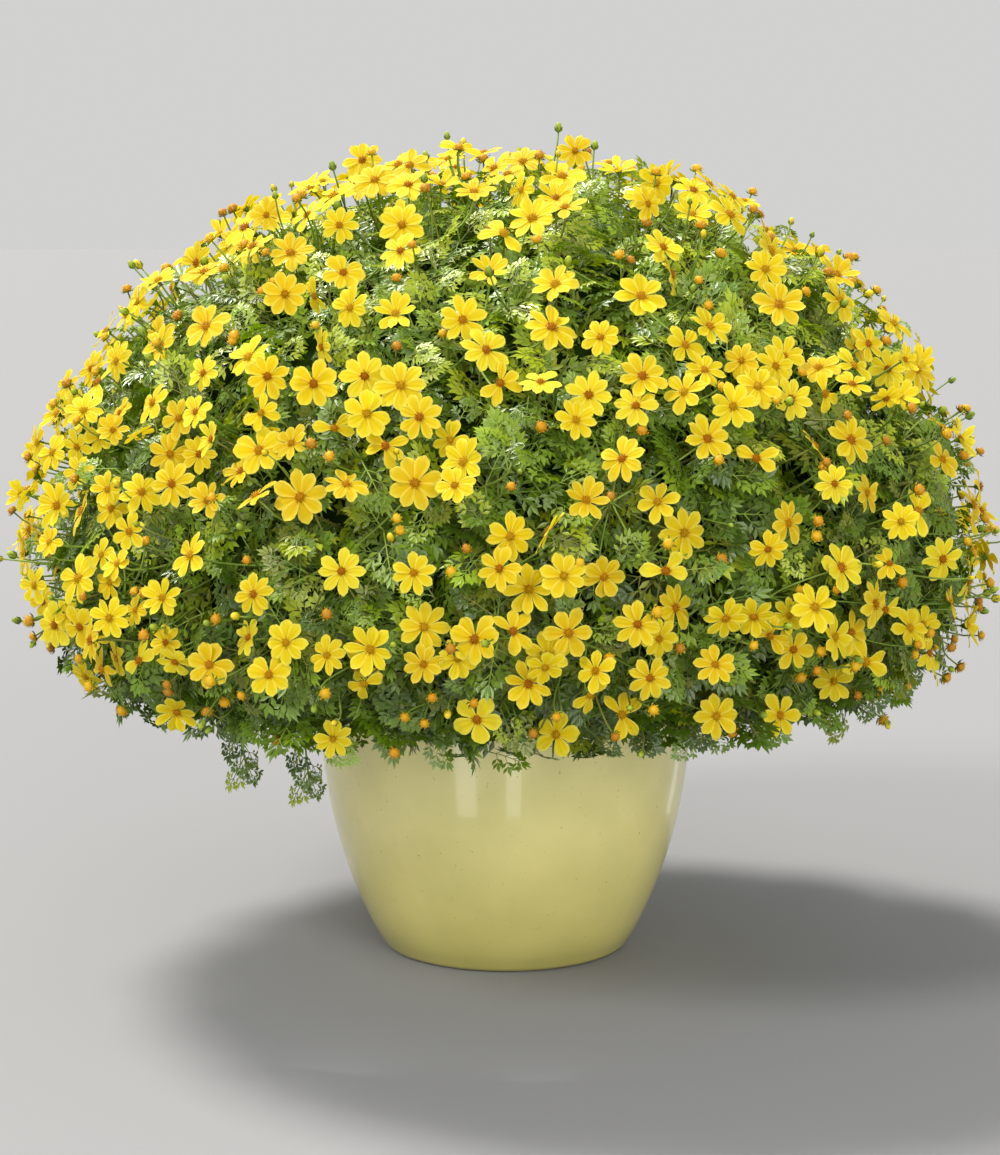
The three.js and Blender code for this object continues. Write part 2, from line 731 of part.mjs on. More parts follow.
function placeLeaves() {
  const tips = [];
  for (let index = 0; index < LEAF_COUNT; index += 1) {
    const direction =
      index < LEAF_ABOVE
        ? domeDirection(index, LEAF_ABOVE, 0)
        : domeDirection(LEAF_COUNT - 1 - index, LEAF_COUNT - LEAF_ABOVE, -LEAF_LOWEST).setZ(0);
    if (index >= LEAF_ABOVE) {
      const below = LEAF_LOWEST * ((index - LEAF_ABOVE + 0.5) / (LEAF_COUNT - LEAF_ABOVE));
      direction.normalize().multiplyScalar(Math.sqrt(1 - below ** 2)).setZ(below);
    }
    const stem = nearestTo(stems, direction);
    const reach = domePoint(direction, MASS_OUTER);
    const sprays = hubs.filter((hub) => hub.point.distanceTo(reach) < SPRAY_SPAN).map((hub) => hub.solid);
    for (let attempt = 0; attempt < LEAF_TRIES; attempt += 1) {
      const key = index * LEAF_TRIES + attempt;
      const aim = reach
        .clone()
        .add(new Vector3(spread(key, 11, -26, 26), spread(key, 12, -26, 26), spread(key, 13, -26, 26)));
      const ray = aim.sub(stem.middle).normalize();
      const out = domeNormal(direction).addScaledVector(ray, 0.5).normalize();
      const skin = leaves(stem.mass, stem.middle, ray);
      const root = stem.middle.clone().addScaledVector(ray, skin - LEAF_SUNK);
      const tilt = spread(key, 15, 0.5, 0.95);
      const leaf = leafPoints(root, out, spread(key, 14, 0, 2 * Math.PI), tilt, spread(key, 16, 0.78, 1.02));
      const heart = leaf.middle[0];
      if (tips.some((tip) => tip.distanceTo(heart) < LEAF_SPACING)) continue;
      if (leafFits(leaf, stem.walls, sprays)) {
        stem.leaves.push(leaf);
        tips.push(heart);
        break;
      }
    }
  }
}

// A thin shoot that has grown out of the mass and hangs below it.
function shootOf([x, y, z]) {
  const start = new Vector3(x * 0.93, y * 0.93, MASS_FLOOR + 38);
  const bend = new Vector3(x * 1.04, y * 1.04, (MASS_FLOOR + z) / 2 + 6);
  return stemAlong([start, bend, new Vector3(x, y, z)], PEDICEL_RADIUS);
}

function stemSolid(stem) {
  const shoots = SHOOT_TIPS.filter(([x, y, z]) => {
    const way = new Vector3(x / DOME_RADIUS, y / DOME_RADIUS, (z - DOME_MIDDLE) / DOME_RISE).normalize();
    return nearestTo(stems, way) === stem;
  });
  const body = joined([stem.mass.solid, stalkOf(stem), ...stem.leaves.map(leafSolid), ...shoots.map(shootOf)]);
  const pierced = hubs
    .filter((hub) => hub.stem === stem)
    .reduce((left, hub) => {
      const { from, to } = footOf(hub, FOOT_RADIUS + 2 * GAP);
      return left.subtract(rod(to, from, FOOT_RADIUS + 2 * GAP));
    }, body);
  return pierced.simplify(SMALLEST_EDGE);
}

placeBuds();
for (const hub of hubs) hub.solid = spraySolid(hub);
placeLeaves();

const plant = new THREE.Group();
plant.add(meshOf("pot", potSolid(), "pot"));
plant.add(meshOf("soil", soilSolid(stems.map((stem) => stem.root)), "soil"));
for (const stem of stems) {
  const number = String(stem.index + 1).padStart(2, "0");
  plant.add(meshOf(`leafy_stem_${number}`, stemSolid(stem), "leaf"));
}
hubs.forEach((hub, index) => {
  const number = String(index + 1).padStart(2, "0");
  plant.add(meshOf(`flower_spray_${number}`, hub.solid, "bloom"));
});

export default plant;
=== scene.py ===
"""A bidens in full flower in a round glazed pot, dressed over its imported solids.

Lengths are in millimetres until a mesh is made. Each leafy stem, each spray, the soil and the pot is one
piece that stands for its node. Open blooms and large leaves are read from the nodes, and stay where they are.
"""

from math import acos, atan2, cos, pi, radians, sin, sqrt

import bmesh
import bpy
import numpy as np
from mathutils import Matrix


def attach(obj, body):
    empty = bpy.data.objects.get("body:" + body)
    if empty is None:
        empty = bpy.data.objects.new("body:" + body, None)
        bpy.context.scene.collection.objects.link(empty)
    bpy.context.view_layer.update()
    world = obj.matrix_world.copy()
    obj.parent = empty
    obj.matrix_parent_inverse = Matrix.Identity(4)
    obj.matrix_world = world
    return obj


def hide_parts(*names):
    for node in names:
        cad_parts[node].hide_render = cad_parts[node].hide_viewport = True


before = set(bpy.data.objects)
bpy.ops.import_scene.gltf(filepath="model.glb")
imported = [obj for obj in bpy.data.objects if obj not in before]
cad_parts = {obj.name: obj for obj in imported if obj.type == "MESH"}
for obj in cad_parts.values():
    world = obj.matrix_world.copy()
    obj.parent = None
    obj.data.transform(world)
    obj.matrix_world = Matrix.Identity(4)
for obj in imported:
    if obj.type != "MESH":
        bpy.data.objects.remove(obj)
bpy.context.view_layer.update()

MM = 0.001
TURN = 2 * pi
UP = np.array([0, 0, 1.0])
GOLDEN_ANGLE = pi * (3 - sqrt(5))
rng = np.random.default_rng(20)

# Dome of foliage and flower, measured at the blooms
DOME_RADIUS = 345.0
DOME_MIDDLE = 285.0
DOME_RISE = 288.0
DOME_DROP = 162.0

# Pot and soil
POT_HEIGHT = 218.0
RIM_RADIUS = 135.0
FOOT_RADIUS = 88.0
BELLY = 2.65
POT_WALL = 7.0
POT_FLOOR = 9.0
POT_EDGE = 6.0
FOOT_ROUNDING = 7.5
POT_SIDES = 96
DRAINS = 3
DRAIN_RADIUS = 6.0
DRAIN_OUT = 42.0
DRAIN_SIDES = 24
SOIL_LEVEL = 200.0
SOIL_FLOOR = POT_FLOOR + 0.3
SOIL_GAP = 0.6

# Leafy stems. A share here and below is of the way from the dome's middle to the blooms
STEM_COUNT = 14
STEM_LOWEST = -0.3
STEM_ROOT_DEPTH = 26.0
CROWN_INNER = 16.0
CROWN_OUTER = 92.0
MASS_MIDDLE = 0.56

# Two thin shoots that hang below the dome, and the small leaves of each: where along it, and which way
HANGING_TIPS = [(-179.0, -100.0, 147.0), (-135.0, -110.0, 139.0)]
HANGING_START = 262.0
HANGING_MIDDLE = 215.0
HANGING_LEAVES = [(4, 0.3), (5, 3.4), (7, 5.9), (8, 3.9), (8, 2.8), (9, 0.2), (9, 4.6), (10, 3.4), (10, 5.6)]

# Upright shoots inside the dome: how many, the shares where they end, their lengths, how light their leaves
# are painted (the inner layer darker, as painted shade), and where and how large these are along them
SHOOTS_LOWEST = -0.62
SHOOT_LAYERS = [
    (470, (0.89, 0.97), (45, 70), 0.35, [(2, 1.0), (4, 0.92), (5, 0.8), (6, 0.62)]),
    (660, (0.77, 0.92), (40, 62), 0.1, [(2, 1.0), (4, 0.98), (5, 0.85)]),
]

# Radii of stems and stalks, at their two ends or at each point
MAIN_STEM = (3.2, 2.2)
SHOOT_STALK = (1.4, 0.7)
TWIG_STALK = (1.6, 0.8)
HANGING_STALK = (1.0, 0.6)
BLOOM_STALK = (0.95, 0.75)
SMALL_STALK = (0.85, 0.65)
FOOT_RADII = (2.0, 2.0, 1.9, 1.8, 1.7, 1.4)
FOOT_LENGTH = 34

# Leaves: how long, how far from root to middle, and how clear of the pot, the blooms' faces and small heads
LEAF_LENGTH = 50.0
LEAF_MIDDLE = 27.0
LEAF_STALK = 6
RIM_CLEAR = 6
LIP_CLEAR = 3
FACE_CLEAR = 19
FACE_BACK, FACE_FRONT = -6, 30
HEAD_CLEAR = 9

# How low leaves reach: lowest in a ring round the pot, and higher again towards the dome's edge
SKIRT = 188
DIP, DIP_RADIUS, DIP_WIDTH = 12, 175, 45
FLARE, FLARE_RADIUS = 0.06, 250

# The plant's underside, round the pot
UNDER_LEAVES = 640
UNDER_TWIGS = 90
UNDER_INNER = 138.0
UNDER_OUTER = 285.0
UNDER_HEIGHTS = (212, 234)

# Leaves laid where few cover the inside: how many, where they are tried, and how narrowly a leaf covers
GAP_LEAVES = 215
GAP_TRIES = 5000
GAP_LOWEST = -0.35
GAP_SHARE = 0.85
LEAF_COVER = 850
GAP_COVER = 250

# The plant's dark inside: a mass of painted shade
CORE_SHARE = 0.80
CORE_LUMPS = 0.028
CORE_FLOOR = 228
CORE_FLOOR_LUMPS = 6

# Open blooms, and the more worn ones low down and at the right
BLOOM_RADIUS = 18.2
CALYX_DEPTH = 4.4
MORE_BLOOMS = 3600
EXTRA_BLOOMS = 285
EXTRA_SPACING = 20.0
SMALL_CLEAR = 12
LOW_BLOOMS = 262
RIGHT_BLOOMS = 180

# How the solids' blooms and large leaves are told, by their middle vertices' neighbours
MERGE_WITHIN = 0.02
BLOOM_NEIGHBOURS = (9, 10, 11)
NOTCH_REACH = 9.95
TIP_REACH = 18.1
FEWEST_TIPS = 4
LEAF_NEIGHBOURS = (12, 13, 14, 15)
LEAF_SHORTEST, LEAF_LONGEST = 24, 38
LEAVES_APART = 3

# A petal from its root to its tip, and its half width there as a share of the widest
PETAL_ROOT = 2.2
PETAL_ALONG = [0, 0.22, 0.45, 0.68, 0.88, 1.0]
PETAL_WIDTHS = [0.27, 0.58, 0.9, 1, 0.79, 0.38]
PETAL_ACROSS = 5
PETAL_ROUNDING = 0.07
PETAL_CUP = 0.9
PETAL_RIPPLE = 0.25
PETAL_GROOVES = 3

# The middle of a bloom
DISC_RADIUS = 3.2
DISC_HEIGHT = 2.6
DISC_FLORETS = 20
HEAD_FLORETS = 16

# A leaf's side ribs and end lobes: where each leaves the main rib, an end lobe's angle, and how long it is,
# as shares of the leaf's length
PINNAE = ((0.26, 0.44), (0.48, 0.40), (0.68, 0.28))
END_LOBES = [(0.76, 0.8, 0.18), (0.76, -0.8, 0.18), (0.82, 0.5, 0.2), (0.82, -0.5, 0.2), (0.8, 0, 0.26)]

# Lights, in metres and degrees: suns with strength, width and colour, strips with turn, width and brightness
SUNS = [
    ("high_behind", (-0.9, 1.1, 2.6), 3.9, 14, (1.0, 0.98, 0.92)),
    ("high_left", (-1.7, -1.5, 2.3), 1.5, 16, (1.0, 0.99, 0.97)),
    ("front", (0.9, -2.4, 1.0), 1.42, 40, (1.0, 1.0, 1.0)),
]
SUN_TARGET = (0, 0, 0.3)
STRIPS = [
    ("low_strip_left", -20.0, 0.06, 2.4),
    ("low_strip_middle", 4.0, 0.042, 2.4),
    ("low_strip_right", 116.0, 0.04, 0.8),
]
STRIP_HEIGHT = 0.17
STRIP_MIDDLE = (0, 0, 0.09)
STRIP_OUT = 0.33

# Looks, as places in each piece's list of materials; what isn't named here is solid
LEAF, PETAL, SOLID, INNER = 0, 1, 2, 3
LOOK_OF = {"leaf": LEAF, "petal": PETAL, "disc": PETAL}


def linear(red, green, blue):
    """A colour as a screen shows it, from 0 to 255, as the linear one that a shader takes."""
    share = np.array([red, green, blue]) / 255
    return np.where(share <= 0.04045, share / 12.92, ((share + 0.055) / 1.055) ** 2.4)


def norm(v):
    return np.linalg.norm(v, axis=-1)


def unit(v):
    return v / np.maximum(norm(v)[..., None], 1e-9)


def spoke(angle):
    """The level direction at an angle."""
    return np.array([cos(angle), sin(angle), 0])


def dome_directions(count, lowest):
    """Directions spread evenly from straight up down to the lowest rise."""
    index = np.arange(count)
    rise = 1 - (index + 0.5) / count * (1 - lowest)
    out = np.sqrt(1 - rise**2)
    turn = index * GOLDEN_ANGLE
    return np.stack([out * np.cos(turn), out * np.sin(turn), rise], 1)


def dome_height(direction):
    return np.where(direction[:, 2] > 0, DOME_RISE, DOME_DROP)


def dome_points(direction, depth):
    depth = np.broadcast_to(depth, len(direction))
    flat = direction[:, :2] * (DOME_RADIUS * depth)[:, None]
    return np.c_[flat, DOME_MIDDLE + direction[:, 2] * dome_height(direction) * depth]


def dome_normals(direction):
    return unit(np.c_[direction[:, :2] / DOME_RADIUS, direction[:, 2] / dome_height(direction)])


def direction_of(points):
    """Which way each point lies from the dome's middle, in the shares that the leafy stems are parted by."""
    off = points - [0, 0, DOME_MIDDLE]
    return unit(off / [DOME_RADIUS, DOME_RADIUS, DOME_RISE])


def jitter(direction, amount):
    return unit(direction + rng.normal(0, amount, direction.shape))


def frames(forward, upward):
    """Axes (K, 3, 3) whose rows are forward, sideways and up, with up as near to upward as it can be."""
    x = unit(forward)
    y = unit(np.cross(upward, x))
    return np.stack([x, y, np.cross(x, y)], 1)


# Each kind of surface has a few tints. A vertex's colour follows from its tint and its place (s, t), and so
# does its place on the UV map, where alike faces share one patch.
TINTS = {
    "leaf": [(88, 115, 6), (103, 133, 8), (124, 152, 10), (70, 98, 7)]
    + [(141, 167, 14), (118, 130, 6), (96, 127, 12), (162, 178, 18)],
    "petal": [(239, 217, 4), (237, 210, 3), (243, 223, 10), (232, 201, 2), (246, 229, 36), (239, 214, 4)],
    "disc": [(214, 150, 4), (198, 122, 3), (222, 170, 8)],
    "stalk": [(122, 150, 52), (104, 132, 42), (140, 164, 66), (122, 128, 54)],
    "calyx": [(104, 136, 40), (90, 118, 34)],
    "head": [(232, 174, 12), (220, 156, 9), (238, 188, 20), (198, 136, 14)],
    "bud": [(152, 168, 42), (130, 150, 46), (212, 190, 34)],
    # the dark greens of the plant's inside, painted shade
    "shade_core": [(34, 50, 12), (42, 60, 14)],
}
PALETTE = {kind: [linear(*tint) for tint in tints] for kind, tints in TINTS.items()}
# leaf tints from dark to light, for the painted light and shade of the leaves
DARK_TO_LIGHT = np.array([3, 0, 5, 1, 6, 2, 4, 7])
# the orange of a petal's root vein, also laid along its grooves as painted shade
VEIN_AND_GROOVE_SHADE = linear(227, 162, 0)
# pale rims and tips of petals: a painted highlight
PETAL_HIGHLIGHT = linear(255, 246, 122)
LEAF_TIP = linear(150, 175, 90)
POLLEN = linear(252, 206, 40)
GLAZE_SPECK = linear(172, 156, 92)
# the glaze's colour up the pot, darker low down as painted shade
GLAZE_TINTS_AND_SHADE = [(0.0, (186, 176, 95)), (0.12, (216, 205, 120)), (0.5, (243, 232, 153)), (1.0, (248, 239, 165))]
SOIL_TINTS = [(0.1, (44, 30, 20)), (0.55, (70, 50, 34)), (0.9, (112, 88, 62))]
ROWS = list(PALETTE)
CELLS = 16
CELL_EDGE, CELL_SPAN = 0.06, 0.88


def painted(kind, tint, s, t):
    """The colour at place (s, t) of a shape, for one tint. s runs from the root or middle outward."""
    base = np.broadcast_to(PALETTE[kind][tint], (len(s), 3)).copy()
    if kind == "petal":
        off = np.abs(t - 0.5)
        vein = 0.45 * np.exp(-((off / 0.2) ** 2)) * np.clip(0.9 - s, 0, 1)
        # two lines along the grooves, darker: painted shade in the grooves
        vein += 0.3 * np.exp(-(((off - 0.25) / 0.1) ** 2)) * np.clip(1.15 - s, 0, 1)
        # paler rims and tips: a painted highlight
        edge = 0.4 * np.clip(off * 2, 0, 1) ** 3 + 0.35 * np.clip((s - 0.75) / 0.25, 0, 1)
        base = base + (VEIN_AND_GROOVE_SHADE - base) * np.clip(vein, 0, 1)[:, None]
        base = base + (PETAL_HIGHLIGHT - base) * np.clip(edge, 0, 1)[:, None]
    elif kind == "leaf":
        base *= (0.78 + 0.42 * s)[:, None]
        base += LEAF_TIP * (0.10 * np.clip(s - 0.6, 0, 1))[:, None]
    elif kind in ("disc", "head"):
        base *= (0.62 + 0.5 * s)[:, None]
        base += (POLLEN - base) * (0.75 * np.clip((s - 0.55) / 0.45, 0, 1))[:, None]
    elif kind == "bud":
        base *= (0.75 + 0.5 * s)[:, None]
    return np.clip(base, 0, 1)


def ring_walls(rings, sides, first=0):
    """Triangles between rings of vertices that follow one another from the first vertex on."""
    side = np.arange(sides)
    lower = first + (np.arange(rings - 1) * sides)[:, None]
    a, b = lower + side, lower + (side + 1) % sides
    return np.stack([a, b, b + sides, a, b + sides, a + sides], -1).reshape(-1, 3)


class Template:
    """A small shape that is copied many times. Each vertex has a kind and a place (s, t)."""

    def __init__(self):
        self.parts, self.count = [], 0

    def add(self, vertices, faces, kind, s, t=0.5):
        count = len(vertices)
        place = np.c_[np.broadcast_to(s, count), np.broadcast_to(t, count)]
        looks = np.full(len(faces), LOOK_OF.get(kind, SOLID))
        self.parts.append((np.array(vertices, float), np.array(faces) + self.count, looks, kind, place))
        self.count += count

    def done(self):
        """Join what was added, and set each vertex's colour and place on the UV map for every tint."""
        vertices, faces, looks, kinds, places = zip(*self.parts)
        self.v, self.f, self.look = map(np.concatenate, (vertices, faces, looks))
        self.tints = max(len(PALETTE[kind]) for kind in kinds)
        colour, uv = [], []
        for tint in range(self.tints):
            for kind, place in zip(kinds, places):
                own = tint % len(PALETTE[kind])
                cell = np.array([own, ROWS.index(kind)])
                colour.append(painted(kind, own, *place.T))
                uv.append((cell + CELL_EDGE + CELL_SPAN * np.clip(place, 0, 1)) / CELLS)
        self.colour = np.concatenate(colour).reshape(self.tints, self.count, 3)
        self.uv = np.concatenate(uv).reshape(self.tints, self.count, 2)
        return self


class Piece:
    """Everything that goes into one mesh."""

    def __init__(self):
        self.parts, self.count = [], 0

    def add(self, vertices, faces, colour, uv, look):
        looks = np.broadcast_to(look, len(faces))
        self.parts.append((vertices, faces + self.count, colour, uv, looks))
        self.count += len(vertices)

    def copies(self, shape, origins, axes, sizes, tints):
        """One copy of the shape at each origin, its x, y and z along the rows of axes."""
        k = len(origins)
        if not k:
            return
        sizes = np.broadcast_to(sizes, k)
        points = np.einsum("ni,kij->knj", shape.v, axes) * sizes[:, None, None] + origins[:, None, :]
        faces = shape.f[None] + (np.arange(k) * shape.count)[:, None, None]
        tints = np.asarray(tints) % shape.tints
        self.add(
            points.reshape(-1, 3),
            faces.reshape(-1, 3),
            shape.colour[tints].reshape(-1, 3),
            shape.uv[tints].reshape(-1, 2),
            np.tile(shape.look, k),
        )

    def stalks(self, paths, radii, tints, sides=3):
        """A stalk along each path (K, S, 3). Radii are for each of its S points, or for its two ends."""
        k, steps = paths.shape[:2]
        if not k:
            return
        if len(radii) == 2:
            radii = np.linspace(*radii, steps)
        ahead = unit(np.gradient(paths, axis=1))
        chord = unit(paths[:, -1] - paths[:, 0])
        rough = np.where(np.abs(chord[:, 2:3]) > 0.8, [[1.0, 0, 0]], [UP])
        side = unit(np.cross(ahead, rough[:, None, :]))
        up = np.cross(ahead, side)
        angle = np.arange(sides) * TURN / sides
        radii = np.broadcast_to(radii, (k, steps))[:, :, None, None]
        spokes = side[:, :, None] * np.cos(angle)[:, None] + up[:, :, None] * np.sin(angle)[:, None]
        points = (paths[:, :, None] + spokes * radii).reshape(-1, 3)
        last = (steps - 1) * sides
        caps = [[0, i + 1, i] for i in range(1, sides - 1)]
        caps += [[last, last + i, last + i + 1] for i in range(1, sides - 1)]
        faces = np.concatenate([ring_walls(steps, sides), caps])
        faces = (faces[None] + (np.arange(k) * steps * sides)[:, None, None]).reshape(-1, 3)
        along = np.repeat(np.linspace(0, 1, steps), sides)
        around = np.tile(np.linspace(0, 1, sides), steps)
        tints = np.asarray(tints) % len(PALETTE["stalk"])
        colour = np.repeat(np.array(PALETTE["stalk"])[tints], steps * sides, 0)
        cells = np.stack([tints, np.full(k, ROWS.index("stalk"))], 1)
        place = CELL_EDGE + CELL_SPAN * np.c_[along, around]
        self.add(points, faces, colour, ((cells[:, None] + place[None]) / CELLS).reshape(-1, 2), SOLID)


def bezier(a, b, c, d, steps):
    t = np.linspace(0, 1, steps)[None, :, None]
    a, b, c, d = (p[:, None, :] for p in (a, b, c, d))
    return a * (1 - t) ** 3 + 3 * b * t * (1 - t) ** 2 + 3 * c * t**2 * (1 - t) + d * t**3


# Templates


def add_petal(shape, turn, length, width, lift, droop, twist, layer):
    v, u = np.meshgrid(np.linspace(-1, 1, PETAL_ACROSS), PETAL_ALONG)
    x = PETAL_ROOT + u * length * (1 - PETAL_ROUNDING * v**2 * u**4)
    y = v * (width / 2 * np.array(PETAL_WIDTHS)[:, None])
    z = layer + lift * u - droop * u**2 + PETAL_CUP * v**2 * u * (1 - 0.5 * u)
    z = z - PETAL_RIPPLE * np.cos(v * 7) * u
    z = z + twist * v * u**2
    c, s = cos(turn), sin(turn)
    points = np.stack([c * x - s * y, s * x + c * y, z], -1).reshape(-1, 3)
    across = PETAL_ACROSS
    a = (np.arange(len(PETAL_ALONG) - 1)[:, None] * across + np.arange(across - 1)).reshape(-1)
    faces = np.concatenate([np.c_[a, a + across, a + across + 1], np.c_[a, a + across + 1, a + 1]])
    shape.add(points, faces, "petal", u.reshape(-1), (v.reshape(-1) + 1) / 2)


def add_floret(shape, own, angle, radius, height, kind):
    """A small three-sided spike on a flower's middle, leaning outward."""
    out = spoke(angle)
    middle = out * radius + [0, 0, height - 0.3]
    foot = [middle + 0.62 * spoke(angle + third) for third in (0, 2.1, 4.2)]
    tip = middle + out * own.uniform(0.1, 0.4) * radius + [0, 0, own.uniform(1.0, 2.3)]
    shade = np.array([0.3, 0.3, 0.3, own.uniform(0.7, 1.0)])
    shape.add([*foot, tip], [[0, 1, 3], [1, 2, 3], [2, 0, 3]], kind, shade)


def add_bracts(shape, count, offset, root, middle, tip, shade):
    """A ring of slim green bracts. Places are (outward, up), the middle's and the tip's from the root."""
    reach, rise, half = middle
    for k in range(count):
        out = spoke(TURN * (k + offset) / count)
        side = np.cross(UP, out)
        start = out * root[0] + [0, 0, root[1]]
        left, right = (start + out * reach + side * wide + [0, 0, rise] for wide in (half, -half))
        end = start + out * tip[0] + [0, 0, tip[1]]
        shape.add([start, left, end, right], [[0, 1, 2], [0, 2, 3]], "calyx", shade)


def bloom_template(seed, petals, openness, fallen=()):
    """An open bloom facing +Z, its middle at the origin."""
    own = np.random.default_rng(seed)
    shape = Template()
    widest = 8.4 + 0.6 * (seed % 4)
    for k in range(petals):
        if k in fallen:
            continue
        turn = TURN * k / petals + own.normal(0, 0.075)
        length = (BLOOM_RADIUS - PETAL_ROOT) * own.uniform(0.88, 1.04)
        width = widest * own.uniform(0.86, 1.1) * (8 / petals) ** 0.5
        lift = openness + own.normal(0, 1.3)
        droop = own.uniform(0.6, 4.4)
        add_petal(shape, turn, length, width, lift, droop, own.normal(0, 1.1), 0.5 * (k % 2) - 0.2)
    # disc: a low dome, and the small florets that stand on it
    rings, sides = 3, 9
    points, shade = [[0, 0, DISC_HEIGHT]], [0.2]
    for r in range(1, rings + 1):
        for k in range(sides):
            out = spoke(TURN * (k + 0.5 * (r % 2)) / sides)
            radius = DISC_RADIUS * r / rings * own.uniform(0.86, 1.14)
            points.append(radius * out + [0, 0, DISC_HEIGHT * cos(r / rings * 1.4)])
            shade.append(own.uniform(0.0, 0.5))
    faces = [[0, 1 + k, 1 + (k + 1) % sides] for k in range(sides)]
    for a, b, above in ring_walls(rings, sides, 1)[::2]:
        faces += [[a, a + sides, above], [a, above, b]]
    shape.add(points, faces, "disc", np.array(shade))
    for k in range(DISC_FLORETS):
        radius = 3.7 * sqrt((k + 0.7) / DISC_FLORETS)
        add_floret(shape, own, k * GOLDEN_ANGLE, radius, 2.5 * cos(radius / 3.7 * 1.25), "disc")
    sides = 8
    ring = np.array([spoke(TURN * k / sides) for k in range(sides)])
    here = np.arange(sides)
    after = (here + 1) % sides
    walls = np.concatenate([np.c_[here, here + sides, after], np.c_[after, here + sides, after + sides]])
    shape.add(np.concatenate([ring * 3.3, ring - [0, 0, CALYX_DEPTH]]), walls, "calyx", 0.5)
    add_bracts(shape, sides, 0.5, (1.6, -3.4), (2.6, -0.4, 0.8), (5.4, 0.2), 0.7)
    return shape.done()


def leaf_template(seed, length=LEAF_LENGTH, bend=0.006, pinnae=PINNAE, broad=1.0):
    """A twice-divided leaf along +X facing +Z, its root at the origin: narrow lobes on narrow side ribs."""
    own = np.random.default_rng(seed)
    shape = Template()

    def lobe(root, heading, size, width, shade):
        """A narrow blade, widest past its middle, folded a little along its vein."""
        side = np.array([-heading[1], heading[0]])
        spots = [(0, 0), (0.58, 0.5), (1, 0), (0.58, -0.5)]
        points = [root + heading * size * a + side * (width * broad) * b for a, b in spots]
        tilt = own.normal(0, 0.9)
        heights = [0.1, 0.6 + 0.6 * tilt, tilt - 0.3, 0.5 + 0.4 * tilt]
        shades = shade + 0.35 * np.array([0, 0.6, 1, 0.6])
        shape.add(np.c_[points, heights], [[0, 3, 2], [0, 2, 1]], "leaf", shades)

    def strip(start, end, near, far):
        """A stretch of the main rib, with its half widths at both ends."""
        way = (end - start) / np.linalg.norm(end - start)
        side = np.array([-way[1], way[0]])
        points = [start + side * near, start - side * near, end - side * far, end + side * far]
        shape.add(np.c_[points, np.full(4, 0.15)], [[0, 1, 2], [0, 2, 3]], "stalk", 0.3)

    def rib(start, end, half):
        side = np.array([start[1] - end[1], end[0] - start[0]])
        side *= half / np.linalg.norm(side)
        points = [start + side, start - side, end]
        shape.add(np.c_[points, np.full(3, 0.15)], [[0, 1, 2]], "stalk", 0.3)

    tip = np.array([length, 0.0])
    strip(np.zeros(2), tip * 0.45, 0.6, 0.45)
    strip(tip * 0.45, tip * 0.86, 0.45, 0.3)
    for share, reach in pinnae:
        for side in (1, -1):
            root = tip * (share + own.normal(0, 0.015))
            angle = side * (1.0 - 0.35 * share + own.normal(0, 0.1))
            heading = spoke(angle)[:2]
            size = length * reach * own.uniform(0.88, 1.1)
            rib(root, root + heading * size * 0.75, 0.45)
            for along in (0.34, 0.62):
                for twin in (1, -1):
                    way = spoke(angle + twin * own.uniform(0.6, 0.9))[:2]
                    lobe(root + heading * size * (along + own.normal(0, 0.03)), way, size * 0.42, 3.1, 0.3)
            lobe(root + heading * size * 0.58, heading, size * 0.5, 3.3, 0.45)
    for share, angle, size in END_LOBES:
        lobe(tip * share, spoke(angle + own.normal(0, 0.06))[:2], length * size, 3.2, 0.6)
    shape = shape.done()
    x, y = shape.v[:, 0], shape.v[:, 1]
    shape.v[:, 2] += -bend * np.maximum(x - 12, 0) ** 2 - 0.012 * y**2
    return shape


def ball(sides, radius, height, rings=5):
    """A closed egg about +Z, its foot at the origin, as (vertices, faces, share up)."""
    points, shares = [[0, 0, 0]], [0.0]
    for r in range(1, rings):
        slope = pi * r / rings
        for k in range(sides):
            out = spoke(TURN * (k + 0.5 * (r % 2)) / sides)
            points.append(radius * sin(slope) * out + [0, 0, height * (1 - cos(slope)) / 2])
            shares.append(r / rings)
    points.append([0, 0, height])
    shares.append(1.0)
    faces = [[0, 1 + (k + 1) % sides, 1 + k] for k in range(sides)]
    faces += ring_walls(rings - 1, sides, 1).tolist()
    top = len(points) - 1
    last = top - sides
    faces += [[top, last + k, last + (k + 1) % sides] for k in range(sides)]
    return np.array(points), faces, np.array(shares)


def head_template(seed):
    """A spent head facing +Z, petals fallen: a knobbly orange-brown crown of seeds on green bracts."""
    own = np.random.default_rng(seed)
    shape = Template()
    points, faces, shares = ball(8, 3.5, 5.8)
    points[:, :2] *= own.uniform(0.9, 1.14, len(points))[:, None]
    shape.add(points - [0, 0, 1.2], faces, "head", shares * 0.5)
    for k in range(HEAD_FLORETS):
        radius = 3.9 * sqrt((k + 0.7) / HEAD_FLORETS)
        add_floret(shape, own, k * GOLDEN_ANGLE, radius, 4.2 - 0.2 * radius**2, "head")
    add_bracts(shape, 7, 0, (1.2, -1.0), (2.4, 0, 0.9), (4.6, 1.6), 0.6)
    return shape.done()


def bud_template():
    """A closed bud along +Z: a slim green cup with yellow showing at its tip."""
    shape = Template()
    points, faces, shares = ball(7, 2.7, 9.0)
    shape.add(points, faces, "bud", shares)
    add_bracts(shape, 6, 0, (0.8, 0.2), (2.2, 2.2, 0.9), (2.5, 5.4), 0.6)
    return shape.done()


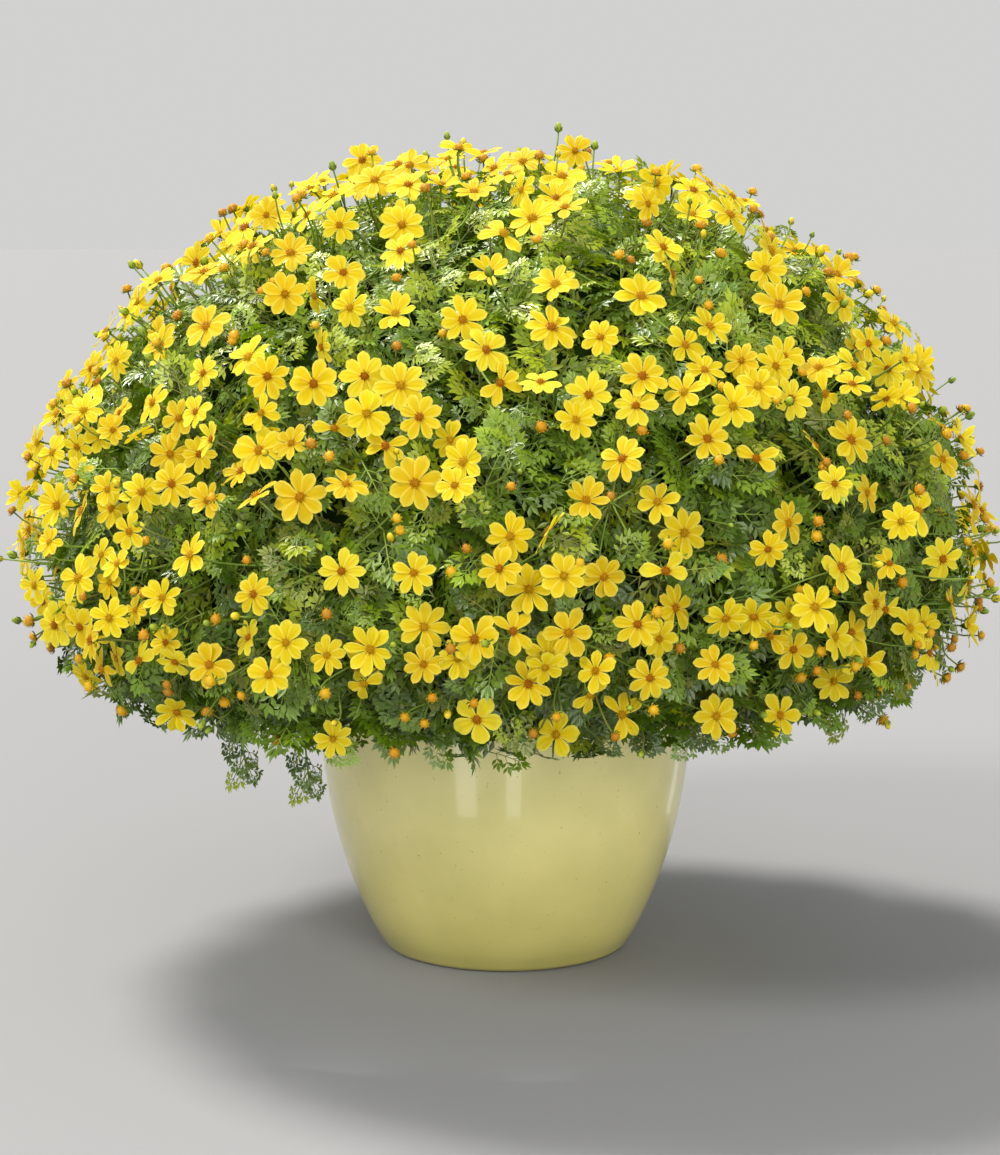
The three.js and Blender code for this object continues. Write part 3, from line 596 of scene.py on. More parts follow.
# Kinds of bloom: how often each comes, how many petals, how far they rise, and which of them have fallen
BLOOM_KINDS = [(0.2, 8, 1.6), (0.15, 8, 3.2), (0.1, 7, 2.2), (0.12, 8, 0.6), (0.08, 6, 2.6), (0.12, 8, 4.6)]
BLOOM_KINDS += [(0.06, 5, 2.0), (0.08, 8, 7.5), (0.05, 8, 1.4, (2, 3, 6)), (0.04, 8, 0.4, (0, 1, 4, 5, 7))]
WORN_KINDS = [7, 8, 9]
BLOOMS = [bloom_template(1 + k, *kind[1:]) for k, kind in enumerate(BLOOM_KINDS)]
LEAVES = [leaf_template(11 + k, bend=bend, broad=1.25) for k, bend in enumerate([0.003, 0.006, 0.008, 0.011])]
YOUNG_LEAF = leaf_template(31, 27.0, 0.006, ((0.38, 0.5), (0.62, 0.34)), 0.75)
HEADS = [head_template(21), head_template(22)]
BUD = bud_template()

# Spent heads and buds: how many are tried, between which shares, how scattered, and their sizes
SMALL_KINDS = [(HEADS, 420, (0.95, 1.025), 0.05, (0.8, 1.1)), ([BUD], 190, (0.96, 1.05), 0.07, (0.55, 1.0))]


# What the nodes hold


def read_points(mesh):
    places = np.empty(len(mesh.vertices) * 3)
    mesh.vertices.foreach_get("co", places)
    return places.reshape(-1, 3)


def node_shape(name):
    """A node's vertices, merged where faces share them, and each vertex's set of neighbours."""
    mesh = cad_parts[name].data
    places = read_points(mesh) / MM
    cells = np.round(places / MERGE_WITHIN).astype(int)
    _, first, merged = np.unique(cells, axis=0, return_index=True, return_inverse=True)
    merged = merged.reshape(-1)
    near = [set() for _ in first]
    for polygon in mesh.polygons:
        ring = [int(merged[i]) for i in polygon.vertices]
        for a, b in zip(ring, ring[1:] + ring[:1]):
            if a != b:
                near[a].add(b)
                near[b].add(a)
    return places[first], near


def read_spray(name):
    """The middle and facing of each open bloom of a spray, and the point where its stalks part."""
    points, near = node_shape(name)
    middles, facings, feet = [], [], []
    for i, around in enumerate(near):
        rim = np.array(sorted(around))
        reach = norm(points[rim] - points[i])
        notches = (np.abs(reach - NOTCH_REACH) < 0.5).sum()
        tips = (np.abs(reach - TIP_REACH) < 0.6).sum()
        if len(rim) not in BLOOM_NEIGHBOURS or min(notches, tips) < FEWEST_TIPS:
            continue
        collar = {j for r in rim for j in near[r] if j != i and j not in around}
        foot = {j for c in collar for j in near[c] if j not in around and j not in collar}
        middles.append(points[rim].mean(0))
        facings.append(points[i] - points[list(collar)].mean(0))
        feet.append(points[list(foot)].mean(0))
    return np.array(middles), unit(np.array(facings)), np.mean(feet, 0)


def read_leaves(name):
    """The base, tip and upper side of each large leaf of a leafy stem."""
    points, near = node_shape(name)
    found = []
    for i, around in enumerate(near):
        if len(around) not in LEAF_NEIGHBOURS:
            continue
        rim = points[sorted(around)]
        off = rim - points[i]
        reach = norm(off)
        tip = rim[np.argmax(reach)]
        if not LEAF_SHORTEST < reach.max() < LEAF_LONGEST:
            continue
        if any(norm(tip - other[1]) < LEAVES_APART for other in found):
            continue
        ahead = tip - points[i]
        base = rim[np.argsort(off @ unit(ahead))[:4]].mean(0)
        side = off[np.argmax(norm(np.cross(off, ahead)))]
        up = unit(np.cross(ahead, side))
        found.append((base, tip, up * np.sign(up @ (points[i] - [0, 0, DOME_MIDDLE]))))
    return found


spray_names = sorted(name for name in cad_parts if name.startswith("flower_spray"))
stem_names = sorted(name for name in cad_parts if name.startswith("leafy_stem"))
own_middles, own_facings, knots = zip(*[read_spray(name) for name in spray_names])
knots = np.array(knots)
stem_ways = dome_directions(STEM_COUNT, STEM_LOWEST)
pieces = {name: Piece() for name in stem_names + spray_names}


def stem_of(points):
    """Which leafy stem each point belongs to."""
    return np.argmax(direction_of(points) @ stem_ways.T, 1)


def spray_of(points):
    """Which spray each point belongs to."""
    return np.argmin(norm(points[:, None] - knots), 1)


def stem_stalks(paths, ends, radii, tints):
    """Stalks that go to the leafy stems that their ends belong to."""
    owner = stem_of(ends)
    for s, name in enumerate(stem_names):
        here = owner == s
        pieces[name].stalks(paths[here], radii, tints[here])


def inner_points(ends):
    """Where the stalks of some flowers leave the foliage, inside the dome and a little aside."""
    inward = dome_normals(direction_of(ends)) * rng.uniform(50, 75, len(ends))[:, None]
    return ends - inward + rng.normal(0, 9, ends.shape)


def waves(ways, frequencies):
    """Waves over the dome, each with a way and a start of its own."""
    return [np.sin(ways @ rng.normal(0, 1, 3) * often + rng.uniform(0, 6)) for often in frequencies]


def spun(ahead, rough, spin):
    """Directions square to ahead, turned about it from a side that follows from rough."""
    side = unit(np.cross(ahead, rough))
    return side * np.cos(spin)[:, None] + np.cross(ahead, side) * np.sin(spin)[:, None]


def face_front(faces, amount):
    """Turn faces towards the front, apart from those that face well away from it."""
    faces[:, 1] -= amount * np.clip(0.6 - faces[:, 1], 0, 1)


# Blooms: those of the solids, and more of them between, in patches and mostly at the left and the front

middles = np.concatenate(own_middles)
facings = np.concatenate(own_facings)
owners = np.repeat(np.arange(len(knots)), [len(some) for some in own_middles])
read_count = len(middles)

ways = jitter(dome_directions(MORE_BLOOMS, -0.2), 0.03)
patches = sum(waves(ways, (5, 7, 9, 12, 15)))
x, y, z = ways.T
liked = -1.1 * z - 0.9 * x - 0.9 * y - 3.0 * np.clip(-z, 0, 1)
order = np.argsort(-(0.55 * patches + liked + rng.normal(0, 1.6, MORE_BLOOMS)))
places = dome_points(ways, rng.uniform(0.95, 1.015, MORE_BLOOMS))
extra = []
for i in order:
    standing = np.concatenate([middles, places[extra]])
    if norm(standing - places[i]).min() > EXTRA_SPACING:
        extra.append(i)
    if len(extra) >= EXTRA_BLOOMS:
        break

extra_faces = dome_normals(ways[extra])
extra_faces[:, 2] = 0.2 + 0.5 * np.maximum(extra_faces[:, 2], 0)
face_front(extra_faces, 0.45)
extra_faces = unit(extra_faces) + rng.normal(0, 0.36, extra_faces.shape)
own_faces = facings + 0.35 * facings[:, 2:3] * np.c_[unit(middles[:, :2]), np.zeros(read_count)]
face_front(own_faces, 0.22)
own_faces += rng.normal(0, 0.15, own_faces.shape)
middles = np.concatenate([middles, places[extra]])
facings = unit(np.concatenate([own_faces, extra_faces]))
owners = np.concatenate([owners, spray_of(places[extra])])

# low down and at the right, more of the blooms are half closed or have lost petals
count = len(middles)
kinds = rng.choice(len(BLOOMS), count, p=[kind[0] for kind in BLOOM_KINDS])
low = middles[:, 2] < LOW_BLOOMS
worn = rng.random(count) < np.where(low, 0.38, np.where(middles[:, 0] > RIGHT_BLOOMS, 0.2, 0.0))
kinds[worn] = rng.choice(WORN_KINDS, worn.sum())
turns = rng.uniform(0, TURN, count)
sizes = rng.uniform(0.76, 1.02, count)
sizes[low] *= 0.93
sizes[read_count:] *= 0.95 - 0.16 * np.abs(middles[read_count:, 0]) / DOME_RADIUS
bloom_tints = rng.integers(0, len(PALETTE["petal"]), count)
stalk_tints = rng.integers(0, len(PALETTE["stalk"]), count)
for k, name in enumerate(spray_names):
    mine = np.flatnonzero(owners == k)
    face = facings[mine]
    side = spun(face, [0.31, 0.11, 0.94], turns[mine])
    axes = np.stack([side, np.cross(face, side), face], 1)
    for kind, bloom in enumerate(BLOOMS):
        here = kinds[mine] == kind
        those = mine[here]
        pieces[name].copies(bloom, middles[those], axes[here], sizes[those], bloom_tints[those])
    calyx = middles[mine] - face * CALYX_DEPTH * sizes[mine][:, None]
    start = np.where((mine < read_count)[:, None], knots[k], inner_points(calyx))
    reach = norm(calyx - start)[:, None]
    out = dome_normals(direction_of(calyx))
    dip = start + (calyx - start) * 0.3 - out * np.minimum(reach * 0.25, 12)
    paths = bezier(start, dip, calyx - unit(face + out * 0.6) * reach * 0.4, calyx, 8)
    pieces[name].stalks(paths, BLOOM_STALK, stalk_tints[mine])
    # the spray's foot, which goes down into its leafy stem
    top = knots[k][None]
    out = unit(top - [0, 0, DOME_MIDDLE])
    foot = top - out * FOOT_LENGTH
    path = bezier(foot, foot + out * 12, top - out * 10, top + out * 2, len(FOOT_RADII))
    pieces[name].stalks(path, FOOT_RADII, [k % 4], sides=6)

# Spent heads and buds among the blooms
small_ends = []
for templates, count, shares, scatter, size_range in SMALL_KINDS:
    ways = jitter(dome_directions(count, -0.5), scatter)
    ends = dome_points(ways, rng.uniform(*shares, count))
    keep = norm(ends[:, None] - middles).min(1) > SMALL_CLEAR
    ways, ends = ways[keep], ends[keep]
    small_ends.append(ends)
    owner = spray_of(ends)
    faces = unit(dome_normals(ways) + [0, 0, 0.25] + rng.normal(0, 0.25, ends.shape))
    tints = rng.integers(0, len(PALETTE["stalk"]), len(ends))
    sizes = rng.uniform(*size_range, len(ends))
    for k, name in enumerate(spray_names):
        mine = owner == k
        end, face = ends[mine], faces[mine]
        axes = frames(face, [0.3, 0.2, 0.9])[:, [1, 2, 0]]
        pieces[name].copies(templates[k % len(templates)], end, axes, sizes[mine], tints[mine])
        start = inner_points(end)
        reach = norm(end - start)[:, None]
        out = dome_normals(direction_of(start))
        paths = bezier(start, start + out * reach * 0.3, end - face * reach * 0.35, end, 7)
        pieces[name].stalks(paths, SMALL_STALK, tints[mine])
small_ends = np.concatenate(small_ends)


# Leafy stems


def has_room(origins, headings, lengths):
    """Whether each leaf stays above the plant's underside, out of the pot, and clear of blooms and heads."""
    tips = origins + headings * lengths[:, None]
    keep = np.ones(len(origins), bool)
    for share in (0.3, 0.6, 0.85, 1.0):
        p = origins + (tips - origins) * share
        radius = np.hypot(p[:, 0], p[:, 1])
        low = SKIRT - DIP * np.exp(-(((radius - DIP_RADIUS) / DIP_WIDTH) ** 2))
        low += FLARE * np.maximum(radius - FLARE_RADIUS, 0)
        in_pot = (radius < RIM_RADIUS + RIM_CLEAR) & (p[:, 2] < POT_HEIGHT + LIP_CLEAR)
        keep &= (p[:, 2] > low) & ~in_pot
    for share in (0.35, 0.7, 1.0):
        p = origins + headings * (lengths * share)[:, None]
        off = p[:, None] - middles
        height = np.einsum("lbi,bi->lb", off, facings)
        across = np.sqrt(np.maximum((off**2).sum(2) - height**2, 0))
        keep &= ~((across < FACE_CLEAR) & (height > FACE_BACK) & (height < FACE_FRONT)).any(1)
        keep &= norm(p[:, None] - small_ends).min(1) > HEAD_CLEAR
    return keep


leaf_ways = []


def place_leaves(origins, headings, ups, sizes, painted_lightness):
    """Lay leaves of mixed kinds where there is room, each in the piece that it belongs to."""
    headings = unit(headings)
    keep = has_room(origins, headings, LEAF_LENGTH * sizes)
    origins, headings, ups, sizes = origins[keep], headings[keep], ups[keep], sizes[keep]
    owner = stem_of(origins)
    kind = rng.integers(0, len(LEAVES), len(origins))
    # painted light and shade: leaves on top are lighter, those lower down and deeper in darker, over a random
    # spread of tone
    light = (origins[:, 2] - 250) / 450 + painted_lightness + rng.normal(0, 0.26, len(origins))
    tint = DARK_TO_LIGHT[(np.clip(light, 0, 0.999) * len(DARK_TO_LIGHT)).astype(int)]
    axes = frames(headings, ups)
    leaf_ways.append(direction_of(origins + headings * LEAF_MIDDLE * sizes[:, None]))
    for s, name in enumerate(stem_names):
        for k, shape in enumerate(LEAVES):
            here = (owner == s) & (kind == k)
            pieces[name].copies(shape, origins[here], axes[here], sizes[here], tint[here])


# Leaves in pairs on upright shoots
for count, shares, lengths, painted_lightness, leaves in SHOOT_LAYERS:
    ways = jitter(dome_directions(count, SHOOTS_LOWEST), 0.04)
    outward = dome_normals(ways)
    tops = dome_points(ways, rng.uniform(*shares, count))
    lean = unit(rng.normal(0, 1, outward.shape) - outward * 0.2)
    starts = tops - outward * rng.uniform(*lengths, count)[:, None] + lean * 22
    paths = bezier(starts, starts + outward * 22, tops - (outward + [0, 0, 0.35]) * 20, tops, 7)
    stem_stalks(paths, tops, SHOOT_STALK, rng.integers(0, len(PALETTE["stalk"]), count))
    for step, size in leaves:
        at = paths[:, step]
        ahead = unit(at - paths[:, step - 1])
        side = spun(ahead, [0.3, 0.5, 0.81], rng.uniform(0, pi, count))
        for sign in (1, -1):
            heading = unit(ahead * 0.55 + sign * side + [0, 0, 0.1] + rng.normal(0, 0.15, side.shape))
            up = unit(outward + [0, 0, 0.6] + rng.normal(0, 0.35, side.shape))
            place_leaves(at, heading, up, size * rng.uniform(0.7, 1.05, count), painted_lightness)

# The large leaves that the solids have, each with a short stalk below its base
own = [leaf for name in stem_names for leaf in read_leaves(name)]
base, tip, up = (np.array(part) for part in zip(*own))
heading = unit(tip - base)
long = norm(tip - base)
place_leaves(base - heading * LEAF_STALK, heading, up, (long + LEAF_STALK) / LEAF_LENGTH, 0.18)

# Under the plant: leaves that droop round the pot, and the twigs that bear them
index = np.arange(UNDER_LEAVES)
turn = index * GOLDEN_ANGLE
radius = np.sqrt(rng.uniform(UNDER_INNER**2, UNDER_OUTER**2, UNDER_LEAVES))
outward = np.c_[np.cos(turn), np.sin(turn), np.zeros(UNDER_LEAVES)]
origins = outward * radius[:, None] + UP * rng.uniform(*UNDER_HEIGHTS, (UNDER_LEAVES, 1))
heading = outward + rng.normal(0, 0.6, origins.shape) * [1, 1, 0.3] - [0, 0, 0.12]
up = UP + rng.normal(0, 0.3, origins.shape)
place_leaves(origins, heading, up, rng.uniform(0.6, 0.95, UNDER_LEAVES), 0.3)
ends = origins[:UNDER_TWIGS] + [0, 0, 4]
outward = outward[:UNDER_TWIGS]
rims = outward * 100 + [0, 0, POT_HEIGHT + 8]
paths = bezier(rims, rims + outward * 45 - [0, 0, 4], ends - outward * 30 - [0, 0, 8], ends, 8)
stem_stalks(paths, ends, TWIG_STALK, index[:UNDER_TWIGS])

# More leaves, one after another, each where the fewest cover the inside
ways = dome_directions(GAP_TRIES, GAP_LOWEST)
cover = np.zeros(GAP_TRIES)
for some in np.array_split(np.concatenate(leaf_ways), 20):
    cover += np.exp(-LEAF_COVER * (1 - ways @ some.T)).sum(1)
bare = []
for _ in range(GAP_LEAVES):
    bare.append(np.argmin(cover))
    cover += 1.5 * np.exp(-GAP_COVER * (1 - ways @ ways[bare[-1]]))
outward = dome_normals(ways[bare])
heading = unit(np.cross(outward, rng.normal(0, 1, outward.shape)) + 0.25 * outward)
origins = dome_points(ways[bare], GAP_SHARE) - heading * LEAF_MIDDLE
up = outward + rng.normal(0, 0.2, outward.shape)
place_leaves(origins, heading, up, rng.uniform(0.85, 1.1, GAP_LEAVES), 0.2)

# Main stems, from below the soil up into the foliage
for s, name in enumerate(stem_names):
    way = stem_ways[s]
    slant = acos(way[2]) / acos(STEM_LOWEST)
    root = spoke(atan2(way[1], way[0])) * (CROWN_INNER + (CROWN_OUTER - CROWN_INNER) * slant)
    foot = root + [0, 0, SOIL_LEVEL - STEM_ROOT_DEPTH]
    collar = root + [0, 0, SOIL_LEVEL + 4]
    bend = root * 0.8 + [0, 0, DOME_MIDDLE - 10]
    t = np.linspace(0, 1, 10)[:, None]
    curve = collar * (1 - t) ** 2 + 2 * bend * t * (1 - t) + dome_points(way[None], MASS_MIDDLE) * t**2
    pieces[name].stalks(np.concatenate([foot[None], curve])[None], MAIN_STEM, [s], sides=8)

# Thin shoots that hang below, each with a bud at its end
for x, y, z in HANGING_TIPS:
    tip = np.array([[x, y, z]])
    start = np.array([[x * 0.93, y * 0.93, HANGING_START]])
    path = bezier(start, start + [x * 0.14, y * 0.14, -30], tip + [x * 0.03, y * 0.03, 40], tip, 12)
    piece = pieces[stem_names[stem_of(np.array([[x, y, HANGING_MIDDLE]]))[0]]]
    piece.stalks(path, HANGING_STALK, [2], sides=4)
    axes = frames(unit(path[:, -1] - path[:, -2]), [0.3, 0.9, 0.1])[:, [1, 2, 0]]
    piece.copies(BUD, tip, axes, 0.6, [1])
    for k, (step, turn) in enumerate(HANGING_LEAVES):
        out = spoke(turn)
        axes = frames(out[None] - [0, 0, 1.8], out + [0, -0.8, 0.5])
        piece.copies(YOUNG_LEAF, path[:, step], axes, 0.8 + 0.06 * (k % 4), [k])

# The plant's inside, where twigs and leaves are too dense to part: a dark mass of painted shade, mottled,
# lighter where it bulges out
work = bmesh.new()
bmesh.ops.create_icosphere(work, subdivisions=5, radius=1.0)
ways = np.array([v.co[:] for v in work.verts])
faces = np.array([[v.index for v in f.verts] for f in work.faces])
work.free()
lumps = sum(wave / (k + 2) for k, wave in enumerate(waves(ways, (9, 12, 15, 21, 27, 34))))
shade_core = dome_points(unit(ways), CORE_SHARE + CORE_LUMPS * lumps)
shade_core[:, 2] = np.maximum(shade_core[:, 2], CORE_FLOOR + CORE_FLOOR_LUMPS * lumps)
owner = stem_of(shade_core[faces].mean(1))
tint = (lumps > 0).astype(int)
colour = np.array(PALETTE["shade_core"])[tint] * (0.8 + 0.3 * np.clip(lumps, -1, 1))[:, None]
uv = (np.c_[tint, np.full(len(tint), ROWS.index("shade_core"))] + 0.5) / CELLS
for s, name in enumerate(stem_names):
    used, local = np.unique(faces[owner == s], return_inverse=True)
    pieces[name].add(shade_core[used], local.reshape(-1, 3), colour[used], uv[used], INNER)


# Materials


class Look:
    """A material made node by node. An input that is given another node's output is linked to it."""

    def __init__(self, name):
        self.material = bpy.data.materials.new(name)
        self.material.use_nodes = True
        self.tree = self.material.node_tree
        self.tree.nodes.clear()

    def node(self, kind, inputs, **settings):
        node = self.tree.nodes.new("ShaderNode" + kind)
        for key, value in settings.items():
            setattr(node, key, value)
        for key, value in inputs.items():
            if isinstance(value, bpy.types.NodeSocket):
                self.tree.links.new(value, node.inputs[key])
            else:
                node.inputs[key].default_value = value
        return node.outputs

    def place(self):
        return self.node("TexCoord", {})["Object"]

    def noise(self, place, scale, detail):
        return self.node("TexNoise", {"Vector": place, "Scale": scale, "Detail": detail})["Fac"]

    def relief(self, height, strength, distance):
        return self.node("Bump", {"Height": height, "Strength": strength, "Distance": distance})["Normal"]

    def blend(self, factor, first, second, **settings):
        inputs = {"Factor": factor, "A": first, "B": second}
        return self.node("Mix", inputs, data_type="RGBA", **settings)["Result"]

    def ramp(self, share, stops):
        colour = self.node("ValToRGB", {"Fac": share})["Color"]
        elements = colour.node.color_ramp.elements
        while len(elements) < len(stops):
            elements.new(0.5)
        for element, (place, tint) in zip(elements, stops):
            element.position = place
            element.color = (*tint, 1.0)
        return colour

    def surface(self, inputs):
        return self.node("BsdfPrincipled", inputs)["BSDF"]

    def done(self, surface):
        self.node("OutputMaterial", {"Surface": surface})
        return self.material


def grooved(look):
    """Shallow grooves that run along each petal."""
    inputs = {
        "Vector": look.node("UVMap", {}, uv_map="OFBake")["UV"],
        "Scale": PETAL_GROOVES * CELLS * pi / 10,
        "Distortion": 0.4,
    }
    return look.node("TexWave", inputs, bands_direction="Y")["Fac"]


def grained(look):
    """A fine uneven grain, as on a leaf blade or a stem."""
    return look.noise(look.place(), 700, 2)


def clumped(look):
    """A coarse unevenness, as of leaves packed in shade."""
    return look.noise(look.place(), 150, 2)


def plant_look(name, roughness, specular, height, depth, through=0.0, glow=(1.0, 1.0, 1.0)):
    """A leaf, petal or stem: its vertices' colour, a fine relief, and a little light let through it."""
    look = Look(name)
    tint = look.node("VertexColor", {}, layer_name="tint")["Color"]
    relief = look.relief(height(look), 0.6, depth * MM)
    inputs = {"Base Color": tint, "Roughness": roughness, "Specular IOR Level": specular, "Normal": relief}
    front = look.surface(inputs)
    if not through:
        return look.done(front)
    warm = look.blend(1.0, tint, (*glow, 1.0), blend_type="MULTIPLY")
    back = look.node("BsdfTranslucent", {"Color": warm})["BSDF"]
    return look.done(look.node("MixShader", {"Fac": through, 1: front, 2: back})["Shader"])


def glaze_look():
    """Pale yellow-green glaze, a little darker low down as painted shade, with fine specks and a slow ripple
    in its gloss.
    """
    look = Look("glaze")
    place = look.place()
    height = look.node("SeparateXYZ", {"Vector": place})["Z"]
    rise = look.node("MapRange", {"Value": height, "From Min": 0.0, "From Max": POT_HEIGHT * MM})["Result"]
    # darker towards the foot: painted shade
    shade = look.ramp(rise, [(share, linear(*tint)) for share, tint in GLAZE_TINTS_AND_SHADE])
    clouds = look.ramp(look.noise(place, 18, 5), [(0.3, (0.86, 0.87, 0.80)), (0.7, (1.0, 1.0, 1.0))])
    mottle = look.blend(1.0, shade, clouds, blend_type="MULTIPLY")
    specks = look.ramp(look.noise(place, 420, 1), [(0.73, (0.0, 0.0, 0.0)), (0.80, (0.8, 0.8, 0.8))])
    inputs = {
        "Base Color": look.blend(specks, mottle, (*GLAZE_SPECK, 1.0)),
        "Roughness": 0.3,
        "Specular IOR Level": 0.5,
        "Coat Weight": 0.7,
        "Coat Roughness": 0.08,
        "Normal": look.relief(look.noise(place, 26, 2), 0.12, 2 * MM),
    }
    return look.done(look.surface(inputs))


def soil_look():
    look = Look("potting_soil")
    grains = look.node("TexVoronoi", {"Vector": look.place(), "Scale": 260})
    shade = look.ramp(grains["Color"], [(share, linear(*tint)) for share, tint in SOIL_TINTS])
    relief = look.relief(grains["Distance"], 0.8, 3 * MM)
    return look.done(look.surface({"Base Color": shade, "Roughness": 0.95, "Normal": relief}))


# Meshes and objects


def make_mesh(name, piece):
    vertices, faces, colour, uv, looks = map(np.concatenate, zip(*piece.parts))
    corners = faces.reshape(-1)
    count = len(faces)
    mesh = bpy.data.meshes.new(name)
    mesh.vertices.add(len(vertices))
    mesh.vertices.foreach_set("co", (vertices * MM).astype(np.float32).reshape(-1))
    mesh.loops.add(3 * count)
    mesh.loops.foreach_set("vertex_index", corners.astype(np.int32))
    mesh.polygons.add(count)
    mesh.polygons.foreach_set("loop_start", np.arange(0, 3 * count, 3, dtype=np.int32))
    mesh.polygons.foreach_set("material_index", looks.astype(np.int32))
    mesh.polygons.foreach_set("use_smooth", np.ones(count, bool))
    tint = mesh.color_attributes.new("tint", "FLOAT_COLOR", "POINT")
    colour = np.c_[colour, np.ones(len(vertices))]
    tint.data.foreach_set("color", colour.astype(np.float32).reshape(-1))
    layer = mesh.uv_layers.new(name="OFBake")
    layer.data.foreach_set("uv", uv[corners].astype(np.float32).reshape(-1))
    mesh.update(calc_edges=True)
    mesh.validate()
    return mesh


def placed(name, data):
    thing = bpy.data.objects.new(name, data)
    bpy.context.scene.collection.objects.link(thing)
    return thing


def stand_in(name, mesh, node, looks):
    """The finer piece that stands for a node."""
    thing = placed(name, mesh)
    for look in looks:
        mesh.materials.append(look)
    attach(thing, "root")
    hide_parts(node)


plant_looks = [
    plant_look("leaf_blade", 0.38, 0.8, grained, 0.12, 0.12, (1.3, 1.5, 0.4)),
    plant_look("petal", 0.6, 0.16, grooved, 0.35, 0.3, (1.1, 1.1, 0.5)),
    plant_look("stem_and_seed", 0.5, 0.3, grained, 0.25),
    plant_look("inner_shade", 1.0, 0.0, clumped, 2.0),
]
for name, piece in pieces.items():
    finer = name.replace("_stem", "_growth").replace("_spray", "_bunch")
    stand_in(finer, make_mesh(finer, piece), name, plant_looks)


# Pot and soil


def pot_radius(height):
    return RIM_RADIUS - (RIM_RADIUS - FOOT_RADIUS) * (1 - height / POT_HEIGHT) ** BELLY


def pot_wall(start, end, count, inset, gap=0):
    """Points of the wall's outline from one height to another, moved inward."""
    return [(float(pot_radius(h)) - inset - gap, float(h)) for h in np.linspace(start, end, count)]


def arc(centre, radius, start, end, steps):
    angles = np.radians(np.linspace(start, end, steps))
    return [(centre[0] + radius * cos(a), centre[1] + radius * sin(a)) for a in angles]


def turned_mesh(name, profile, sides=POT_SIDES):
    """A closed body turned about Z from a profile that starts and ends on the axis."""
    body = bmesh.new()
    rings = []
    for radius, height in profile:
        spokes = [spoke(TURN * k / sides) for k in range(sides if radius else 1)]
        rings.append([body.verts.new((radius * out + [0, 0, height]) * MM) for out in spokes])
    for low, high in zip(rings, rings[1:]):
        for k in range(sides):
            n = (k + 1) % sides
            corners = [low[k % len(low)], low[n % len(low)], high[n % len(high)], high[k % len(high)]]
            distinct = list(dict.fromkeys(corners))
            if len(distinct) > 2:
                body.faces.new(distinct)
    bmesh.ops.recalc_face_normals(body, faces=body.faces)
    mesh = bpy.data.meshes.new(name)
    body.to_mesh(mesh)
    body.free()
    mesh.polygons.foreach_set("use_smooth", np.ones(len(mesh.polygons), bool))
    return mesh


def cut_drains(mesh):
    """The drain holes through the floor, cut once and kept in the mesh."""
    holder = placed("drilled", mesh)
    below, above = -POT_FLOOR, POT_FLOOR + 10
    profile = [(0, below), (DRAIN_RADIUS, below), (DRAIN_RADIUS, above), (0, above)]
    drills = []
    for k in range(DRAINS):
        drill = placed("drill", turned_mesh("drill", profile, DRAIN_SIDES))
        drill.location = spoke(TURN * (k + 0.5) / DRAINS) * DRAIN_OUT * MM
        cut = holder.modifiers.new("drain", "BOOLEAN")
        cut.operation = "DIFFERENCE"
        cut.solver = "EXACT"
        cut.object = drill
        drills.append(drill)
    bpy.context.view_layer.update()
    graph = bpy.context.evaluated_depsgraph_get()
    drilled = bpy.data.meshes.new_from_object(holder.evaluated_get(graph))
    for tool in [*drills, holder]:
        bpy.data.objects.remove(tool, do_unlink=True)
    drilled.name = mesh.name
    return drilled


def pot_mesh():
    foot = pot_radius(0) - POT_EDGE + 1
    lip_centre = (RIM_RADIUS - POT_WALL / 2, POT_HEIGHT - POT_WALL / 2)
    inner = pot_wall(lip_centre[1], POT_FLOOR + 6, 16, POT_WALL)
    profile = [
        *[(radius, 0) for radius in (0, 20, 32, 52, 70, foot)],
        *arc((foot, FOOT_ROUNDING), FOOT_ROUNDING, -75, -14, 5),
        *pot_wall(POT_EDGE + 3, lip_centre[1], 34, 0),
        *arc(lip_centre, POT_WALL / 2, 20, 160, 7),
        *inner,
        *[(radius, POT_FLOOR) for radius in (inner[-1][0] - 6, 60, 30, 0)],
    ]
    return cut_drains(turned_mesh("pot_glazed", profile))


def soil_mesh():
    """The soil that fills the pot, its top uneven."""
    wall = pot_wall(POT_FLOOR + 8, SOIL_LEVEL - 4, 12, POT_WALL, SOIL_GAP)
    top = [(float(radius), SOIL_LEVEL) for radius in np.linspace(wall[-1][0] - 2, 6, 34)]
    bottom = [(0, SOIL_FLOOR), (wall[0][0] - 8, SOIL_FLOOR)]
    mesh = turned_mesh("soil_bed", [*bottom, *wall, *top, (0, SOIL_LEVEL)])
    places = read_points(mesh)
    own = np.random.default_rng(5)
    above = places[:, 2] > (SOIL_LEVEL - 1) * MM
    places[above, 2] += own.uniform(-3.5, 1.5, above.sum()) * MM
    mesh.vertices.foreach_set("co", places.reshape(-1))
    mesh.update()
    return mesh


stand_in("pot_glazed", pot_mesh(), "pot", [glaze_look()])
stand_in("soil_bed", soil_mesh(), "soil", [soil_look()])


# Floor, light and camera, in metres

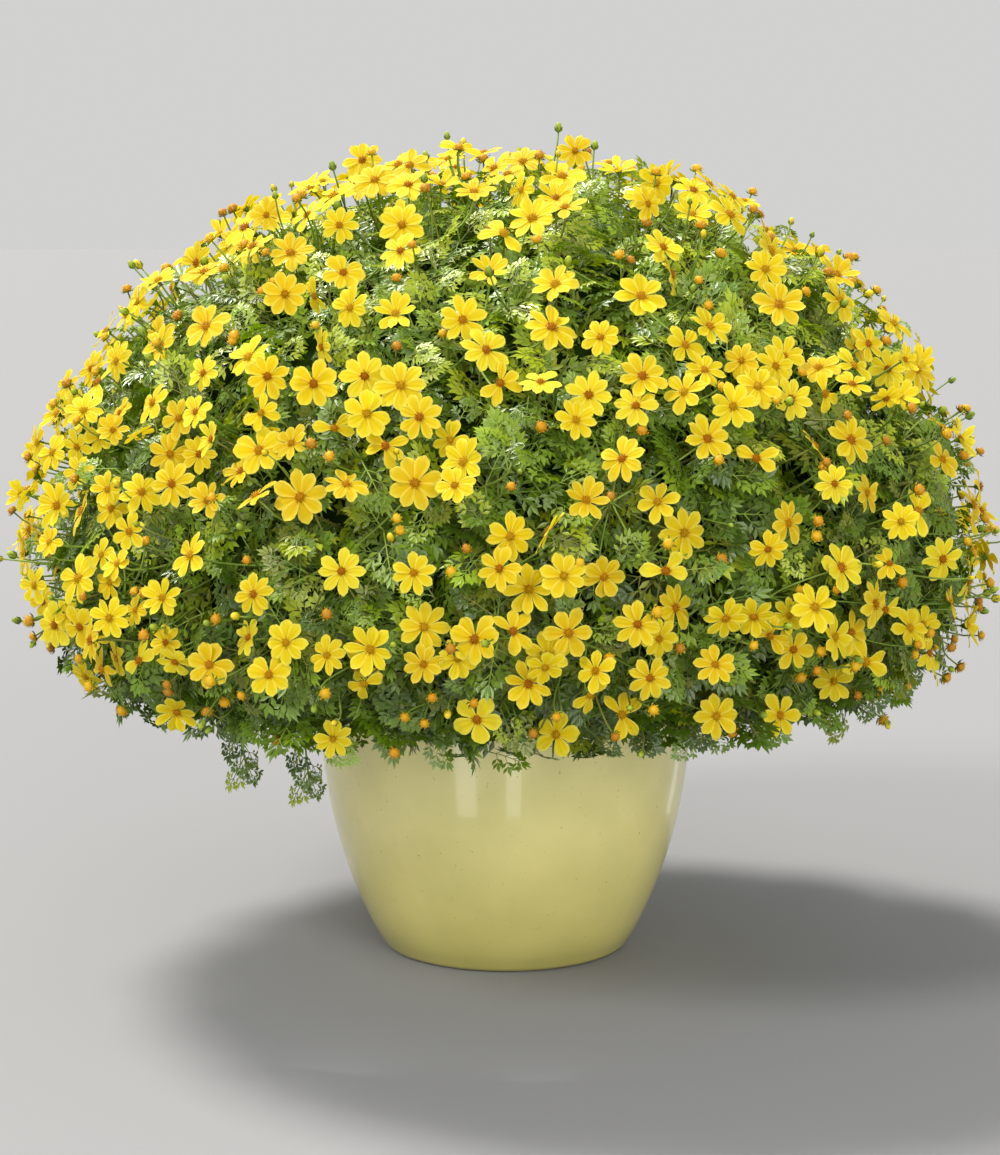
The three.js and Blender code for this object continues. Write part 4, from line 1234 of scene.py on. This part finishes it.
floor_mesh = bpy.data.meshes.new("floor")
floor_mesh.from_pydata([(-9, -9, 0), (9, -9, 0), (9, 9, 0), (-9, 9, 0)], [], [(0, 1, 2, 3)])
floor = placed("floor", floor_mesh)
pale = Look("pale_floor")
grey = pale.surface({"Base Color": (0.27, 0.27, 0.276, 1), "Roughness": 0.85})
floor_mesh.materials.append(pale.done(grey))

world = bpy.data.worlds.new("soft_sky")
bpy.context.scene.world = world
world.use_nodes = True
sky = world.node_tree.nodes["Background"]
sky.inputs["Color"].default_value = (0.97, 0.97, 0.96, 1)
sky.inputs["Strength"].default_value = 0.66


def add_light(name, data, place, axes):
    """Set a light at a place, with the three axes it is turned to; its beam goes against the third."""
    turn = np.eye(4)
    turn[:3, :3] = np.array(axes).T
    turn[:3, 3] = place
    thing = placed(name, data)
    thing.matrix_world = Matrix(turn.tolist())
    return thing


for name, place, strength, width, colour in SUNS:
    sun = bpy.data.lights.new(name, "SUN")
    sun.energy = strength
    sun.angle = radians(width)
    sun.color = colour
    back = unit(np.array(place) - SUN_TARGET)
    side = unit(np.cross(UP, back))
    add_light(name, sun, place, [side, np.cross(back, side), back])

# strips that are seen only in the glaze's gloss
for name, turn, width, bright in STRIPS:
    way = np.array([sin(radians(turn)), -cos(radians(turn)), 0])
    strip = bpy.data.lights.new(name, "AREA")
    strip.shape = "RECTANGLE"
    strip.size, strip.size_y = width, STRIP_HEIGHT
    strip.energy = bright * pi * width * STRIP_HEIGHT
    lamp = add_light(name, strip, way * STRIP_OUT + STRIP_MIDDLE, [np.cross(UP, way), UP, way])
    lamp.visible_camera = False
    lamp.visible_diffuse = False

camera_data = bpy.data.cameras.new("photo_view")
camera_data.lens = 97.4
camera_data.sensor_width = 36
camera_data.sensor_fit = "AUTO"
camera = placed("photo_view", camera_data)
camera.location = (-0.004, -2.213, 0.626)
camera.rotation_euler = (radians(90 - 9.2), 0, 0)
bpy.context.scene.camera = camera
bpy.context.scene.view_settings.view_transform = "Standard"
